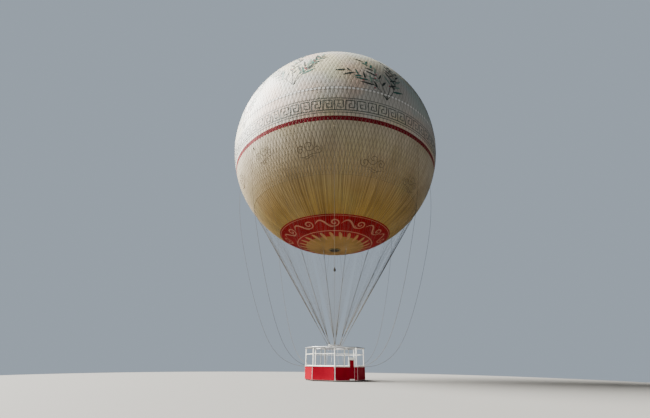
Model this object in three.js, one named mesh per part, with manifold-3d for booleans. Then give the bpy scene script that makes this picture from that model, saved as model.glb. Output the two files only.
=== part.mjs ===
// Tethered helium balloon: a round gas envelope in a rope net, eight rope legs that gather
// on a load ring, a tether head on a gimbal, and a ring-shaped gondola with eight corners.
// Units are millimetres and +Z is up. The origin is the centre of the envelope and -Y is the front.

import * as THREE from 'three';
import { mergeVertices } from 'three/addons/utils/BufferGeometryUtils.js';
import Module from 'manifold-3d';

// Envelope
const envelopeRadius = 11000;
const skinThickness = 10;
const facetsRound = 48;
const crownHoleRadius = 600;
const portHoleRadius = 500;
const bandTop = -16.1;
const bandBottom = -18.1;
const hemLatitude = -41;
const discTop = -59.8;
const discCentreTop = -74.8;

// Net hem, rope legs and the load ring that they gather on
const cornerCount = 8;
const cornerStep = 360 / cornerCount;
const hemRopeRadius = 18;
const legLineRadius = 14;
const legBranchRadius = 9;
const legSplit = 0.55;
const legSpliceRadius = 42;
const legSpliceLength = 240;
const legLinePairs = [-11.25, 11.25];
const legBranchTurns = [-7.5, 0, 7.5];
const baseBelowCentre = 22530;
const loadRingRadius = 580;
const loadRingHeight = 2730;
const lugReach = 650;

// Gondola, with heights above the underside of its feet
const outerCorner = 2500;
const innerCorner = 1200;
const floorBottom = 70;
const floorTop = 170;
const deckThickness = 6;
const handrailHeight = 1090;
const kneeRailHeight = 600;
const midRailHeight = 2000;
const topRingHeight = 2510;
const topRingCorner = 2620;
const topBeam = 60;
const outerPostRadius = 45;
const handrailRadius = 50;
const innerPostRadius = 30;
const floorFrameCorner = 2550;
const skirtThickness = 30;
const skirtBottom = 90;
const frontPostWindow = 60;
const gateThickness = 30;
const hangerFootReach = 980;

// Gate, in the front right side of the gondola, measured from the middle of that side
const gateBay = 0;
const gatePostLeft = 260;
const gatePostRight = 783;
const gatePostRadius = 32;
const gatePostTop = 1790;
const gateTop = 1750;
const hingeInset = 53;
const hingeBehind = 48;
const hingeLugRadius = 10;
const hingeHeights = [380, 1250];
const hingePinRadius = 8;

// Gimbal and tether socket
const gimbalHeight = 2500;
const cheekInside = 100;
const cheekThickness = 30;
const cheekHalfWidth = 50;
const gimbalPinRadius = 18;
const gimbalPinPlay = 0.95;
const socketBottom = 1900;

// Mooring lines: one route of points, outward from the axis and up from the feet
const mooringRadius = 12;
const mooringSteps = 20;
const mooringRoute = [
  [10350, 18595], [10347, 18250], [10300, 17500], [10190, 16500], [10030, 15400],
  [9800, 14150], [9500, 12850], [9140, 11500], [8730, 10100], [8290, 8700],
  [7840, 7380], [7380, 6130], [6900, 4960], [6400, 3900], [5860, 2960],
  [5250, 2190], [4550, 1620], [3800, 1265], [3150, 1105], [2601.2, 1070],
];

// Pieces that touch on the real balloon lie this far apart
const seatGap = 0.3;

const wasm = await Module();
wasm.setup();

// Shared shapes

const radians = THREE.MathUtils.degToRad;

// A point at an azimuth from the front, positive towards +X
function around(azimuth, reach, height) {
  const turn = radians(azimuth);
  return new THREE.Vector3(reach * Math.sin(turn), -reach * Math.cos(turn), height);
}

// Equal steps between two values, ends included
function stops(first, last, count) {
  return Array.from({ length: count + 1 }, (_, i) => first + ((last - first) * i) / count);
}

// A closed profile of [radius, height] pairs turned round the vertical axis
function turned(profile, sides = 24) {
  const points = profile.map(([radius, height]) => new THREE.Vector2(radius, height));
  return new THREE.LatheGeometry(points, sides).rotateX(Math.PI / 2);
}

// A straight round bar from one point to another; one edge of its section faces a direction
function rod(from, to, radius, sides = 6, facing = new THREE.Vector3(0, 0, 1)) {
  const along = to.clone().sub(from);
  const length = along.length();
  along.normalize();
  const edge = Math.abs(along.dot(facing)) > 0.99 ? new THREE.Vector3(0, 1, 0) : facing.clone();
  edge.addScaledVector(along, -edge.dot(along)).normalize();
  const across = new THREE.Vector3().crossVectors(along, edge);
  const frame = new THREE.Matrix4().makeBasis(across, along, edge);
  frame.setPosition(from.clone().add(to).multiplyScalar(0.5));
  return new THREE.CylinderGeometry(radius, radius, length, sides).applyMatrix4(frame);
}

// A block by its size and centre, turned about the vertical
function block(size, centre, turn = 0) {
  const geometry = new THREE.BoxGeometry(...size).rotateZ(radians(turn));
  return geometry.translate(centre.x, centre.y, centre.z);
}

// A flat ring with eight corners
function cornerRing(outer, inner, bottom, top) {
  const corners = (reach) => stops(0, 360 - cornerStep, cornerCount - 1).map((azimuth) => {
    const point = around(azimuth, reach, 0);
    return new THREE.Vector2(point.x, point.y);
  });
  const shape = new THREE.Shape(corners(outer));
  shape.holes.push(new THREE.Path(corners(inner)));
  const ring = new THREE.ExtrudeGeometry(shape, { depth: top - bottom, bevelEnabled: false });
  return ring.translate(0, 0, bottom);
}

// A round rail that runs from corner to corner, all the way round or between some azimuths
function cornerRail(reach, height, radius, sides, azimuths) {
  return azimuths.map((azimuth) => rod(
    around(azimuth, reach, height), around(azimuth + cornerStep, reach, height), radius, sides));
}

// A short pin that stands upright
function uprightPin(x, y, bottom, top, radius, sides = 12) {
  return rod(new THREE.Vector3(x, y, bottom), new THREE.Vector3(x, y, top), radius, sides);
}

// Joining and cutting

function solidOf(geometry) {
  const plain = geometry.index ? geometry.clone() : geometry;
  plain.deleteAttribute('normal');
  plain.deleteAttribute('uv');
  const merged = mergeVertices(plain, 0.001);
  const kept = [];
  const index = merged.index.array;
  for (let i = 0; i < index.length; i += 3) {
    const [a, b, c] = [index[i], index[i + 1], index[i + 2]];
    if (a !== b && b !== c && a !== c) kept.push(a, b, c);
  }
  return new wasm.Manifold(new wasm.Mesh({
    numProp: 3,
    vertProperties: Float32Array.from(merged.attributes.position.array),
    triVerts: Uint32Array.from(kept),
  }));
}

function joined(geometries) {
  return geometries.map(solidOf).reduce((sum, next) => sum.add(next));
}

function cut(solid, geometries) {
  return geometries.map(solidOf).reduce((rest, next) => rest.subtract(next), solid);
}

function geometryOf(solid) {
  const mesh = solid.getMesh();
  const geometry = new THREE.BufferGeometry();
  geometry.setAttribute('position', new THREE.BufferAttribute(mesh.vertProperties, 3));
  geometry.setIndex(new THREE.BufferAttribute(mesh.triVerts, 1));
  geometry.computeVertexNormals();
  return geometry;
}

// Materials

function paint(color, roughness, metalness) {
  return new THREE.MeshStandardMaterial({ color, roughness, metalness });
}

const creamCloth = () => paint(0xcdbf98, 0.55, 0);
const redCloth = () => paint(0x9c1c26, 0.55, 0);
const goldCloth = () => paint(0xb08a3c, 0.55, 0);
const darkCloth = () => paint(0x2a2420, 0.8, 0);
const paleRope = () => paint(0xd8d4c8, 0.8, 0);
const darkRope = () => paint(0x3a3834, 0.8, 0);
const whitePaint = () => paint(0xe6e6e0, 0.4, 0.1);
const redPaint = () => paint(0xc8141e, 0.4, 0.1);
const galvanised = () => paint(0x9a9c9c, 0.5, 0.9);
const aluminium = () => paint(0xb8baba, 0.4, 0.9);
const rubber = () => paint(0x1c1c1c, 0.9, 0);

const balloon = new THREE.Group();
const gondola = new THREE.Group();
gondola.position.z = -baseBelowCentre;
balloon.add(gondola);

function addPiece(group, name, shape, material) {
  const geometry = shape.isBufferGeometry ? shape : geometryOf(shape);
  const mesh = new THREE.Mesh(geometry, material);
  mesh.name = name;
  group.add(mesh);
  return mesh;
}

// Envelope: a ball of cloth in five zones, each a shell between two latitudes

function skinPoint(latitude, radius) {
  return [radius * Math.cos(radians(latitude)), radius * Math.sin(radians(latitude))];
}

function zoneShell(latitudes) {
  const seam = THREE.MathUtils.radToDeg(seatGap / 2 / envelopeRadius);
  const rows = latitudes.slice();
  rows[0] -= seam;
  rows[rows.length - 1] += seam;
  const outside = rows.map((latitude) => skinPoint(latitude, envelopeRadius)).reverse();
  const inside = rows.map((latitude) => skinPoint(latitude, envelopeRadius - skinThickness));
  return turned([...outside, ...inside, outside[0]], facetsRound);
}

// Each mooring line leaves the envelope under a stiff patch block
function mooringBlocks() {
  const size = [120, 170, 130];
  const [top] = mooringRoute;
  const centreReach = top[0] + 35 - size[1] / 2;
  const centreHeight = top[1] + seatGap + size[2] / 2 - baseBelowCentre;
  return stops(0, 360 - cornerStep, cornerCount - 1).map((azimuth) => block(
    size, around(azimuth, centreReach, centreHeight), azimuth));
}

const crownLatitude = THREE.MathUtils.radToDeg(Math.acos(crownHoleRadius / envelopeRadius));
const portLatitude = -THREE.MathUtils.radToDeg(Math.acos(portHoleRadius / envelopeRadius));
const lowerRows = [...stops(bandBottom, hemLatitude, 3), ...stops(hemLatitude, discTop, 2).slice(1)];
addPiece(balloon, 'envelope_upper', zoneShell(stops(crownLatitude, bandTop, 11)), creamCloth());
addPiece(balloon, 'envelope_red_band', zoneShell([bandTop, bandBottom]), redCloth());
addPiece(balloon, 'envelope_lower', joined([zoneShell(lowerRows), ...mooringBlocks()]), creamCloth());
addPiece(balloon, 'envelope_red_disc', zoneShell(stops(discTop, discCentreTop, 2)), redCloth());
addPiece(balloon, 'envelope_gold_centre', zoneShell([discCentreTop, -81, portLatitude]), goldCloth());

// Crown: a clamping flange with the neck of the gas valve, a guide bar and the valve's lid

function addCrown() {
  const flange = { inside: 560, outside: 820, thickness: 30 };
  const neck = { inside: 330, wall: 30, height: 150, footOutside: 559, footThickness: 20 };
  const bar = { width: 60, thickness: 20, middle: 60, bossRadius: 45, bossHalfHeight: 20 };
  const stem = { radius: 14, boreRadius: 17, bottom: 10 };
  const lid = { seatRadius: 400, rimRadius: 410, rimHeight: 20, shoulderRadius: 250, shoulder: 55, top: 70 };
  const seat = skinPoint(crownLatitude, envelopeRadius)[1] + seatGap;
  const neckTop = seat + neck.height;
  const neckOutside = neck.inside + neck.wall;
  addPiece(balloon, 'crown_flange', turned([
    [flange.inside, seat], [flange.outside, seat], [flange.outside, seat + flange.thickness],
    [flange.inside, seat + flange.thickness], [flange.inside, seat],
  ]), aluminium());
  const body = joined([
    turned([
      [neck.inside, seat], [neck.footOutside, seat], [neck.footOutside, seat + neck.footThickness],
      [neckOutside, seat + neck.footThickness], [neckOutside, neckTop], [neck.inside, neckTop],
      [neck.inside, seat],
    ]),
    block([2 * neck.inside + neck.wall / 2, bar.width, bar.thickness],
      new THREE.Vector3(0, 0, seat + bar.middle)),
    uprightPin(0, 0, seat + bar.middle - bar.bossHalfHeight, seat + bar.middle + bar.bossHalfHeight,
      bar.bossRadius),
  ]);
  const bore = uprightPin(0, 0, seat, neckTop, stem.boreRadius);
  addPiece(balloon, 'valve_neck', cut(body, [bore]), aluminium());
  const lidSeat = neckTop + seatGap;
  addPiece(balloon, 'valve_lid', turned([
    [0, seat + stem.bottom], [stem.radius, seat + stem.bottom], [stem.radius, lidSeat],
    [lid.seatRadius, lidSeat], [lid.rimRadius, lidSeat + lid.rimHeight],
    [lid.shoulderRadius, lidSeat + lid.shoulder], [0, lidSeat + lid.top],
  ]), whitePaint());
}
addCrown();

// Port under the envelope: a clamping flange, a dark cover and the gland of the control line

const portSeat = skinPoint(portLatitude, envelopeRadius)[1] - seatGap;
const glandBottom = portSeat - 130;

function addPort() {
  const flange = { outside: 600, bore: 505, lipInside: 460, skirt: 30, lip: 45, depth: 60 };
  const cover = { radius: 498, gland: 40, glandTop: 50, top: 20, rim: 30 };
  const lipTop = portSeat - flange.lip;
  addPiece(balloon, 'port_flange', turned([
    [flange.bore - 3, portSeat - flange.depth], [flange.outside, portSeat - flange.skirt],
    [flange.outside, portSeat], [flange.bore, portSeat], [flange.bore, lipTop],
    [flange.lipInside, lipTop], [flange.lipInside, portSeat - flange.depth],
    [flange.bore - 3, portSeat - flange.depth],
  ]), aluminium());
  addPiece(balloon, 'port_cover', turned([
    [0, glandBottom], [cover.gland, glandBottom], [cover.glandTop, portSeat - 40],
    [cover.radius - 28, lipTop + seatGap], [cover.radius, lipTop + seatGap],
    [cover.radius, portSeat - cover.rim], [0, portSeat - cover.top],
  ]), darkCloth());
}
addPort();

// Control line with its weight, from the gland to the hub of the load ring

const hubTop = 60 + loadRingHeight;

function addControlLine() {
  const lineRadius = 6;
  const weightTop = 9880 - baseBelowCentre;
  const weightBottom = 9330 - baseBelowCentre;
  const hub = hubTop - baseBelowCentre;
  addPiece(balloon, 'control_line_upper', uprightPin(0, 0, weightTop + seatGap,
    glandBottom - seatGap, lineRadius, 8), darkRope());
  addPiece(balloon, 'control_line_weight', turned([
    [0, weightBottom], [40, weightBottom + 15], [95, weightBottom + 80], [112, weightBottom + 160],
    [95, weightBottom + 260], [50, weightBottom + 400], [18, weightTop - 40], [0, weightTop],
  ], 16), darkRope());
  addPiece(balloon, 'control_line_lower', uprightPin(0, 0, hub + seatGap,
    weightBottom - seatGap, lineRadius, 8), darkRope());
}
addControlLine();

// Rope legs: each carries its share of the net's hem and gathers six branches in two lines

function hemArc(azimuth) {
  const [reach, height] = skinPoint(hemLatitude, envelopeRadius + hemRopeRadius + seatGap);
  const inward = 180 + hemLatitude;
  const section = stops(inward, inward + 360, 6).map((turn) => [
    reach + hemRopeRadius * Math.cos(radians(turn)),
    height + hemRopeRadius * Math.sin(radians(turn)),
  ]);
  const halfTurn = cornerStep / 2 - THREE.MathUtils.radToDeg(seatGap / 2 / reach);
  const wedge = new THREE.Shape([new THREE.Vector2(0, 0), ...[-halfTurn, 0, halfTurn].map((turn) => {
    const point = around(azimuth + turn, 2 * reach, 0);
    return new THREE.Vector2(point.x, point.y);
  })]);
  const sector = new THREE.ExtrudeGeometry(wedge, { depth: 400, bevelEnabled: false });
  return solidOf(turned(section, facetsRound)).intersect(solidOf(sector.translate(0, 0, height - 200)));
}

function ropeLeg(azimuth) {
  const eyeSize = [110, 60, 70];
  const eyeBottom = loadRingHeight + 30 + seatGap - baseBelowCentre;
  const eye = around(azimuth, lugReach, eyeBottom + eyeSize[2] / 2);
  const [hemReach, hemHeight] = skinPoint(hemLatitude, envelopeRadius + hemRopeRadius + seatGap);
  const ropes = legLinePairs.flatMap((lineTurn) => {
    const start = eye.clone().add(around(azimuth + 90, 30 * Math.sign(lineTurn), 0));
    const middle = around(azimuth + lineTurn, hemReach, hemHeight);
    const split = start.clone().lerp(middle, legSplit);
    const spliceEnd = middle.clone().sub(start).setLength(legSpliceLength / 2);
    const splice = rod(split.clone().sub(spliceEnd), split.clone().add(spliceEnd), legSpliceRadius, 4);
    const branches = legBranchTurns.map((branchTurn) => rod(
      split, around(azimuth + lineTurn + branchTurn, hemReach, hemHeight), legBranchRadius));
    return [rod(start, split, legLineRadius), splice, ...branches];
  });
  return joined([block(eyeSize, eye, azimuth), ...ropes]).add(hemArc(azimuth));
}

const corners = stops(0, 360 - cornerStep, cornerCount - 1);
corners.forEach((azimuth, i) => {
  addPiece(balloon, `rope_leg_${i + 1}`, ropeLeg(azimuth), paleRope());
});

// Load ring: lugs for the legs, a cross that holds the gimbal fork, and eight hanger rods

function loadFrame() {
  const halfDepth = 40;
  const ring = turned([
    [loadRingRadius - 35, loadRingHeight - halfDepth], [loadRingRadius + 35, loadRingHeight - halfDepth],
    [loadRingRadius + 35, loadRingHeight + halfDepth], [loadRingRadius - 35, loadRingHeight + halfDepth],
    [loadRingRadius - 35, loadRingHeight - halfDepth],
  ]);
  const lugs = corners.map((azimuth) => block([80, 110, 60], around(azimuth, lugReach - 15, loadRingHeight),
    azimuth));
  const arms = [45, 135].map((azimuth) => block([70, 2 * loadRingRadius, 60],
    new THREE.Vector3(0, 0, loadRingHeight), azimuth));
  const hub = uprightPin(0, 0, loadRingHeight - 60, hubTop, 130, 16);
  const cheekTop = loadRingHeight - 50;
  const cheekBottom = gimbalHeight - 60;
  const cheeks = [-1, 1].map((side) => block([cheekThickness, 2 * cheekHalfWidth, cheekTop - cheekBottom],
    new THREE.Vector3(side * (cheekInside + cheekThickness / 2), 0, (cheekTop + cheekBottom) / 2)));
  const hangers = corners.flatMap((azimuth) => {
    const foot = around(azimuth + cornerStep / 2, hangerFootReach, floorTop + seatGap + 25);
    const head = around(azimuth + cornerStep / 2, loadRingRadius, loadRingHeight - halfDepth + 10);
    return [rod(foot, head, 14), block([60, 60, 50], foot, azimuth + cornerStep / 2)];
  });
  const bore = rod(new THREE.Vector3(-300, 0, gimbalHeight), new THREE.Vector3(300, 0, gimbalHeight),
    gimbalPinRadius + gimbalPinPlay, 12);
  return cut(joined([ring, hub, ...arms, ...lugs, ...cheeks, ...hangers]), [bore]);
}
addPiece(gondola, 'load_ring', loadFrame(), galvanised());

// Gimbal block and tether socket

function gimbalBlock() {
  const pinEnd = cheekInside + cheekThickness - 2;
  const side = cheekInside - 10;
  return joined([
    block([2 * side, 2 * side, 90], new THREE.Vector3(0, 0, gimbalHeight)),
    rod(new THREE.Vector3(-pinEnd, 0, gimbalHeight), new THREE.Vector3(pinEnd, 0, gimbalHeight),
      gimbalPinRadius, 12),
    rod(new THREE.Vector3(0, -pinEnd, gimbalHeight), new THREE.Vector3(0, pinEnd, gimbalHeight),
      gimbalPinRadius, 12),
  ]);
}
addPiece(gondola, 'gimbal_block', gimbalBlock(), galvanised());

function tetherSocket() {
  const plateTop = gimbalHeight - 150;
  const plateBottom = plateTop - 30;
  const cheekTop = gimbalHeight + 50;
  const cheeks = [-1, 1].map((side) => block([2 * cheekHalfWidth, cheekThickness, cheekTop - plateBottom],
    new THREE.Vector3(0, side * (cheekInside + cheekThickness / 2), (cheekTop + plateBottom) / 2)));
  const plate = block([120, 2 * (cheekInside + cheekThickness), 30],
    new THREE.Vector3(0, 0, plateTop - 15));
  const body = turned([
    [0, socketBottom], [50, socketBottom], [50, socketBottom + 60], [34, socketBottom + 80],
    [62, plateBottom - 60], [62, plateBottom + 10], [0, plateBottom + 10],
  ], 16);
  const bore = rod(new THREE.Vector3(0, -300, gimbalHeight), new THREE.Vector3(0, 300, gimbalHeight),
    gimbalPinRadius + gimbalPinPlay, 12);
  return cut(joined([...cheeks, plate, body]), [bore]);
}
addPiece(gondola, 'tether_socket', tetherSocket(), galvanised());

// Gondola floor: feet on a skid ring, a frame with lugs for the hangers, and the deck plate

function landingRing() {
  const feet = corners.map((azimuth) => block([240, 160, floorBottom - seatGap],
    around(azimuth, outerCorner - 120, (floorBottom - seatGap) / 2), azimuth));
  return joined([cornerRing(outerCorner - 70, outerCorner - 170, 30, floorBottom - seatGap), ...feet]);
}
addPiece(gondola, 'landing_ring', landingRing(), rubber());

function floorFrame() {
  const lugs = corners.map((azimuth) => block([110, 130, floorTop - floorBottom],
    around(azimuth + cornerStep / 2, hangerFootReach, (floorTop + floorBottom) / 2),
    azimuth + cornerStep / 2));
  return joined([cornerRing(floorFrameCorner, innerCorner - 100, floorBottom, floorTop), ...lugs]);
}
addPiece(gondola, 'floor_frame', floorFrame(), whitePaint());

const deckBottom = floorTop + seatGap;
addPiece(gondola, 'deck_plate',
  cornerRing(outerCorner - 60, innerCorner + 45, deckBottom, deckBottom + deckThickness), aluminium());

// Outer frame: corner posts, rails, gate posts with hinge pins, and the stubs for mooring lines

const sideAzimuth = (bay) => (bay + 0.5) * cornerStep;
const sideReach = outerCorner * Math.cos(radians(cornerStep / 2));
const sideHalf = outerCorner * Math.sin(radians(cornerStep / 2));

// A point beside the gate: along the side to the right, inward, and up
function atGate(along, inward, height) {
  const azimuth = sideAzimuth(gateBay);
  const out = around(azimuth, sideReach - inward, height);
  return out.add(around(azimuth + 90, along, 0));
}

function outerFrame() {
  const foot = floorTop + seatGap;
  const postTop = topRingHeight - topBeam / 2 - seatGap;
  const posts = corners.map((azimuth) => rod(
    around(azimuth, outerCorner, foot), around(azimuth, outerCorner, postTop), outerPostRadius, 8));
  const handrail = cornerRail(outerCorner, handrailHeight, handrailRadius, 6,
    corners.slice(gateBay + 1));
  const handrailEnds = [[-sideHalf, gatePostLeft], [gatePostRight, sideHalf]].map(([from, to]) => rod(
    atGate(from, 0, handrailHeight), atGate(to, 0, handrailHeight), handrailRadius));
  const midRail = cornerRail(outerCorner, midRailHeight, 20, 6, corners);
  const gatePosts = [gatePostLeft, gatePostRight].map((along) => rod(
    atGate(along, 0, foot), atGate(along, 0, gatePostTop), gatePostRadius, 8));
  const hinges = hingeHeights.flatMap((height) => [
    rod(atGate(gatePostRight, 0, height), atGate(gatePostRight - hingeInset, hingeBehind, height),
      hingeLugRadius),
    uprightPinAt(atGate(gatePostRight - hingeInset, hingeBehind, height), 0, 80, hingePinRadius),
  ]);
  const stubHeight = mooringRoute[mooringRoute.length - 1][1];
  const stubs = corners.map((azimuth) => rod(
    around(azimuth, outerCorner, stubHeight), around(azimuth, 2600, stubHeight), 22, 8));
  return joined([...posts, ...handrail, ...handrailEnds, ...midRail, ...gatePosts, ...hinges, ...stubs]);
}

// A pin that stands on a point, from one height above it to another
function uprightPinAt(point, bottom, top, radius) {
  return uprightPin(point.x, point.y, point.z + bottom, point.z + top, radius);
}
addPiece(gondola, 'outer_frame', outerFrame(), whitePaint());

// Skirt: flat panels outside the posts, mitred where they meet; at the front corner the post shows

const skirtTop = handrailHeight - handrailRadius - seatGap;
const skirtInside = floorFrameCorner * Math.cos(radians(cornerStep / 2)) + seatGap;
const skirtOutside = skirtInside + skirtThickness;

// How far a panel's face runs from the middle of its side to the mitre
function mitreAt(distance) {
  return distance * Math.tan(radians(cornerStep / 2)) - seatGap;
}

// Each end is given as how far it stops short of the mitre, or as a place along the side
function addPanel(name, bay, ends) {
  const [left, right] = ends.map((end) => [skirtInside, skirtOutside].map((distance) => (
    end.at === undefined ? mitreAt(distance) - end.short : end.at)));
  const leftSign = ends[0].at === undefined ? -1 : 1;
  const outline = new THREE.Shape([
    new THREE.Vector2(leftSign * left[0], -skirtInside),
    new THREE.Vector2(leftSign * left[1], -skirtOutside),
    new THREE.Vector2(right[1], -skirtOutside),
    new THREE.Vector2(right[0], -skirtInside),
  ]);
  const geometry = new THREE.ExtrudeGeometry(outline, { depth: skirtTop - skirtBottom, bevelEnabled: false });
  const panel = addPiece(gondola, name, geometry, redPaint());
  panel.position.z = skirtBottom;
  panel.rotation.z = radians(sideAzimuth(bay));
}

const mitred = { short: 0 };
const showsFrontPost = { short: frontPostWindow };
for (let bay = gateBay + 1; bay < cornerCount; bay += 1) {
  const rightEnd = bay === cornerCount - 1 ? showsFrontPost : mitred;
  addPanel(`skirt_panel_${bay}`, bay, [mitred, rightEnd]);
}
addPanel('skirt_panel_gate_left', gateBay, [showsFrontPost, { at: gatePostLeft + gatePostRadius }]);
addPanel('skirt_panel_gate_right', gateBay, [{ at: gatePostRight - gatePostRadius }, mitred]);

// Gate: one flat leaf on two lift-off hinges, which opens into the gondola

function gateLeaf() {
  const left = gatePostLeft + gatePostRadius + 11;
  const right = gatePostRight - gatePostRadius - 9;
  const bottom = deckBottom + deckThickness + 9;
  const leaf = block([right - left, gateThickness, gateTop - bottom],
    atGate((left + right) / 2, 0, (gateTop + bottom) / 2), sideAzimuth(gateBay));
  const knuckles = hingeHeights.flatMap((height) => {
    const pin = atGate(gatePostRight - hingeInset, hingeBehind, height);
    const strap = atGate(gatePostRight - hingeInset - 35, 29, height + 45);
    return [
      uprightPinAt(pin, hingeLugRadius + seatGap, 72, 17),
      block([90, 34, 40], strap, sideAzimuth(gateBay)),
    ];
  });
  const bores = hingeHeights.map((height) => uprightPinAt(
    atGate(gatePostRight - hingeInset, hingeBehind, height), 0, 100, hingePinRadius + 1.5));
  return cut(joined([leaf, ...knuckles]), bores);
}
addPiece(gondola, 'gate', gateLeaf(), redPaint());

// Inner frame round the tether well: posts, rails and a low wall

function innerFrame() {
  const foot = floorTop + seatGap;
  const postTop = topRingHeight - topBeam / 2 - seatGap;
  const posts = corners.map((azimuth) => rod(
    around(azimuth, innerCorner, foot), around(azimuth, innerCorner, postTop), innerPostRadius, 6));
  const rails = [handrailHeight, kneeRailHeight].flatMap((height) => cornerRail(
    innerCorner, height, 22, 6, corners));
  return joined([...posts, ...rails]);
}
addPiece(gondola, 'inner_frame', innerFrame(), whitePaint());
addPiece(gondola, 'inner_wall',
  cornerRing(innerCorner - 35, innerCorner - 55, floorTop + seatGap, handrailHeight - 40), redPaint());

// Top frame: an outer and an inner ring with a beam at each corner

function topFrame() {
  const bottom = topRingHeight - topBeam / 2;
  const top = topRingHeight + topBeam / 2;
  const beams = corners.map((azimuth) => block([topBeam, topRingCorner - innerCorner, topBeam],
    around(azimuth, (topRingCorner + innerCorner) / 2, topRingHeight), azimuth));
  return joined([
    cornerRing(topRingCorner, topRingCorner - 65, bottom - 10, top + 10),
    cornerRing(innerCorner + 40, innerCorner - 40, bottom, top),
    ...beams,
  ]);
}
addPiece(gondola, 'top_frame', topFrame(), galvanised());

// Mooring lines: slack ropes from the patch blocks to the corner posts

function mooringLine(azimuth) {
  const route = new THREE.CatmullRomCurve3(
    mooringRoute.map(([reach, height]) => around(azimuth, reach, height)));
  const section = new THREE.Shape(stops(0, 315, 7).map((turn) => new THREE.Vector2(
    mooringRadius * Math.cos(radians(turn)), mooringRadius * Math.sin(radians(turn)))));
  return new THREE.ExtrudeGeometry(section, {
    steps: mooringSteps, extrudePath: route, bevelEnabled: false,
  });
}
corners.forEach((azimuth, i) => {
  addPiece(gondola, `mooring_line_${i + 1}`, mooringLine(azimuth), paleRope());
});

export default balloon;
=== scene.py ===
import math

import bpy
import numpy as np
from mathutils import Matrix, Vector


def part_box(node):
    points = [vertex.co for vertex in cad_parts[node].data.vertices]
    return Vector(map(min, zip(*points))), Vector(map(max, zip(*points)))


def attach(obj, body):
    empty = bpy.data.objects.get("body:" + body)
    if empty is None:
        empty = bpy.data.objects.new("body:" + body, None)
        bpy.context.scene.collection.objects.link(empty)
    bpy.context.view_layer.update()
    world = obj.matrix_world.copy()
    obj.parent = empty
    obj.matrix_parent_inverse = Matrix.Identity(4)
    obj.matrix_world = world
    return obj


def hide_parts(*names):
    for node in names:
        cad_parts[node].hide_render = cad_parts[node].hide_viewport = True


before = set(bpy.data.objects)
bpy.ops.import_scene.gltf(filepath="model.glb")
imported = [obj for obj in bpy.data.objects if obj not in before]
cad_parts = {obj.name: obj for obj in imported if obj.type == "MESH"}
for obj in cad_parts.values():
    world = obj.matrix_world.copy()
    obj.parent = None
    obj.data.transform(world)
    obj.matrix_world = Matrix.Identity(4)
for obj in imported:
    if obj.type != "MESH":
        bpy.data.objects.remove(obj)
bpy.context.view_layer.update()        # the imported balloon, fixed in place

# Everything is in metres, with the origin at the centre of the envelope and the ground at groundHeight
rad = math.radians
groundHeight = -22.53
lugReach = 0.650
cornerCount = 8
cornerTurn = 360 / cornerCount
sideTurn = cornerTurn / 2        # from a corner to the middle of the next side
sideShare = math.cos(rad(sideTurn))        # from a corner's reach to its side's reach
seatGap = 0.0003
toRight, toBack, upward = Vector((1, 0, 0)), Vector((0, 1, 0)), Vector((0, 0, 1))


# Small helpers

def aroundAxis(azimuth, reach, height=0.0):        # azimuth 0 is the front corner, positive to the right
    return Vector((reach * math.sin(rad(azimuth)), -reach * math.cos(rad(azimuth)), height))


def onDeck(azimuth, reach, height):        # the same, with the height above the gondola's feet
    return aroundAxis(azimuth, reach, height + groundHeight)


def onAxis(height):
    return onDeck(0, 0, height)


def onSide(along, reach, height):        # along the first side from its middle, at a reach from the axis
    return onDeck(sideTurn, reach, height) + aroundAxis(sideTurn + 90, along)


def active():
    return bpy.context.view_layer.objects.active


def setAll(target, **settings):
    for key, value in settings.items():
        setattr(target, key, value)


def pick(*pieces):
    bpy.ops.object.select_all(action="DESELECT")
    for piece in pieces:
        piece.select_set(True)
    bpy.context.view_layer.objects.active = pieces[0]


def bakePlace(piece):
    pick(piece)
    bpy.ops.object.transform_apply(location=True, rotation=True, scale=True)
    return piece


def applyAll(piece):
    pick(piece)
    for modifier in list(piece.modifiers):
        bpy.ops.object.modifier_apply(modifier=modifier.name)
    return piece


def joinUp(pieces):
    for piece in pieces:
        bakePlace(piece)
    pick(*pieces)
    if len(pieces) > 1:
        bpy.ops.object.join()
    return active()


def softenEdges(piece, width, segments=2, angle=35):
    setAll(piece.modifiers.new("edges", "BEVEL"), width=width, segments=segments, limit_method="ANGLE",
           angle_limit=rad(angle))
    return applyAll(piece)


def repeatAround(piece, count=cornerCount, step=None):        # copies turned about the axis, in one mesh
    bakePlace(piece)
    bpy.ops.object.empty_add(location=(0, 0, 0), rotation=(0, 0, rad(step or 360 / count)))
    pivot = active()
    setAll(piece.modifiers.new("around", "ARRAY"), use_relative_offset=False, use_object_offset=True,
           offset_object=pivot, count=count)
    bpy.context.view_layer.update()
    applyAll(piece)
    bpy.data.objects.remove(pivot)
    return piece


def atCorners(*parts):
    return repeatAround(joinUp(parts))


def closeSeams(piece, gap=0.0005, outward=False):
    pick(piece)
    bpy.ops.object.mode_set(mode="EDIT")
    bpy.ops.mesh.select_all(action="SELECT")
    bpy.ops.mesh.remove_doubles(threshold=gap)
    bpy.ops.mesh.delete_loose()
    bpy.ops.mesh.select_all(action="SELECT")
    if outward:
        bpy.ops.mesh.normals_make_consistent(inside=False)
    bpy.ops.object.mode_set(mode="OBJECT")
    return piece


def finishPiece(piece, name, finish, nodes=(), body="balloon", smooth=35):
    material, slot = finishes[finish]
    bakePlace(piece)
    bpy.ops.object.shade_smooth_by_angle(angle=rad(smooth))
    piece.name = name
    piece.data.name = name
    piece.data.materials.clear()
    piece.data.materials.append(material)
    if nodes:
        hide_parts(*nodes)
    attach(piece, body)


# Primitive shapes that the pieces start from

def between(start, end):        # the settings of a primitive that reaches from one point to another
    start, end = Vector(start), Vector(end)
    along = end - start
    return dict(depth=along.length, location=(start + end) / 2,
                rotation=along.to_track_quat("Z", "Y").to_euler())


def bar(start, end, radius, sides=16):
    bpy.ops.mesh.primitive_cylinder_add(vertices=sides, radius=radius, **between(start, end))
    return active()


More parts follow.
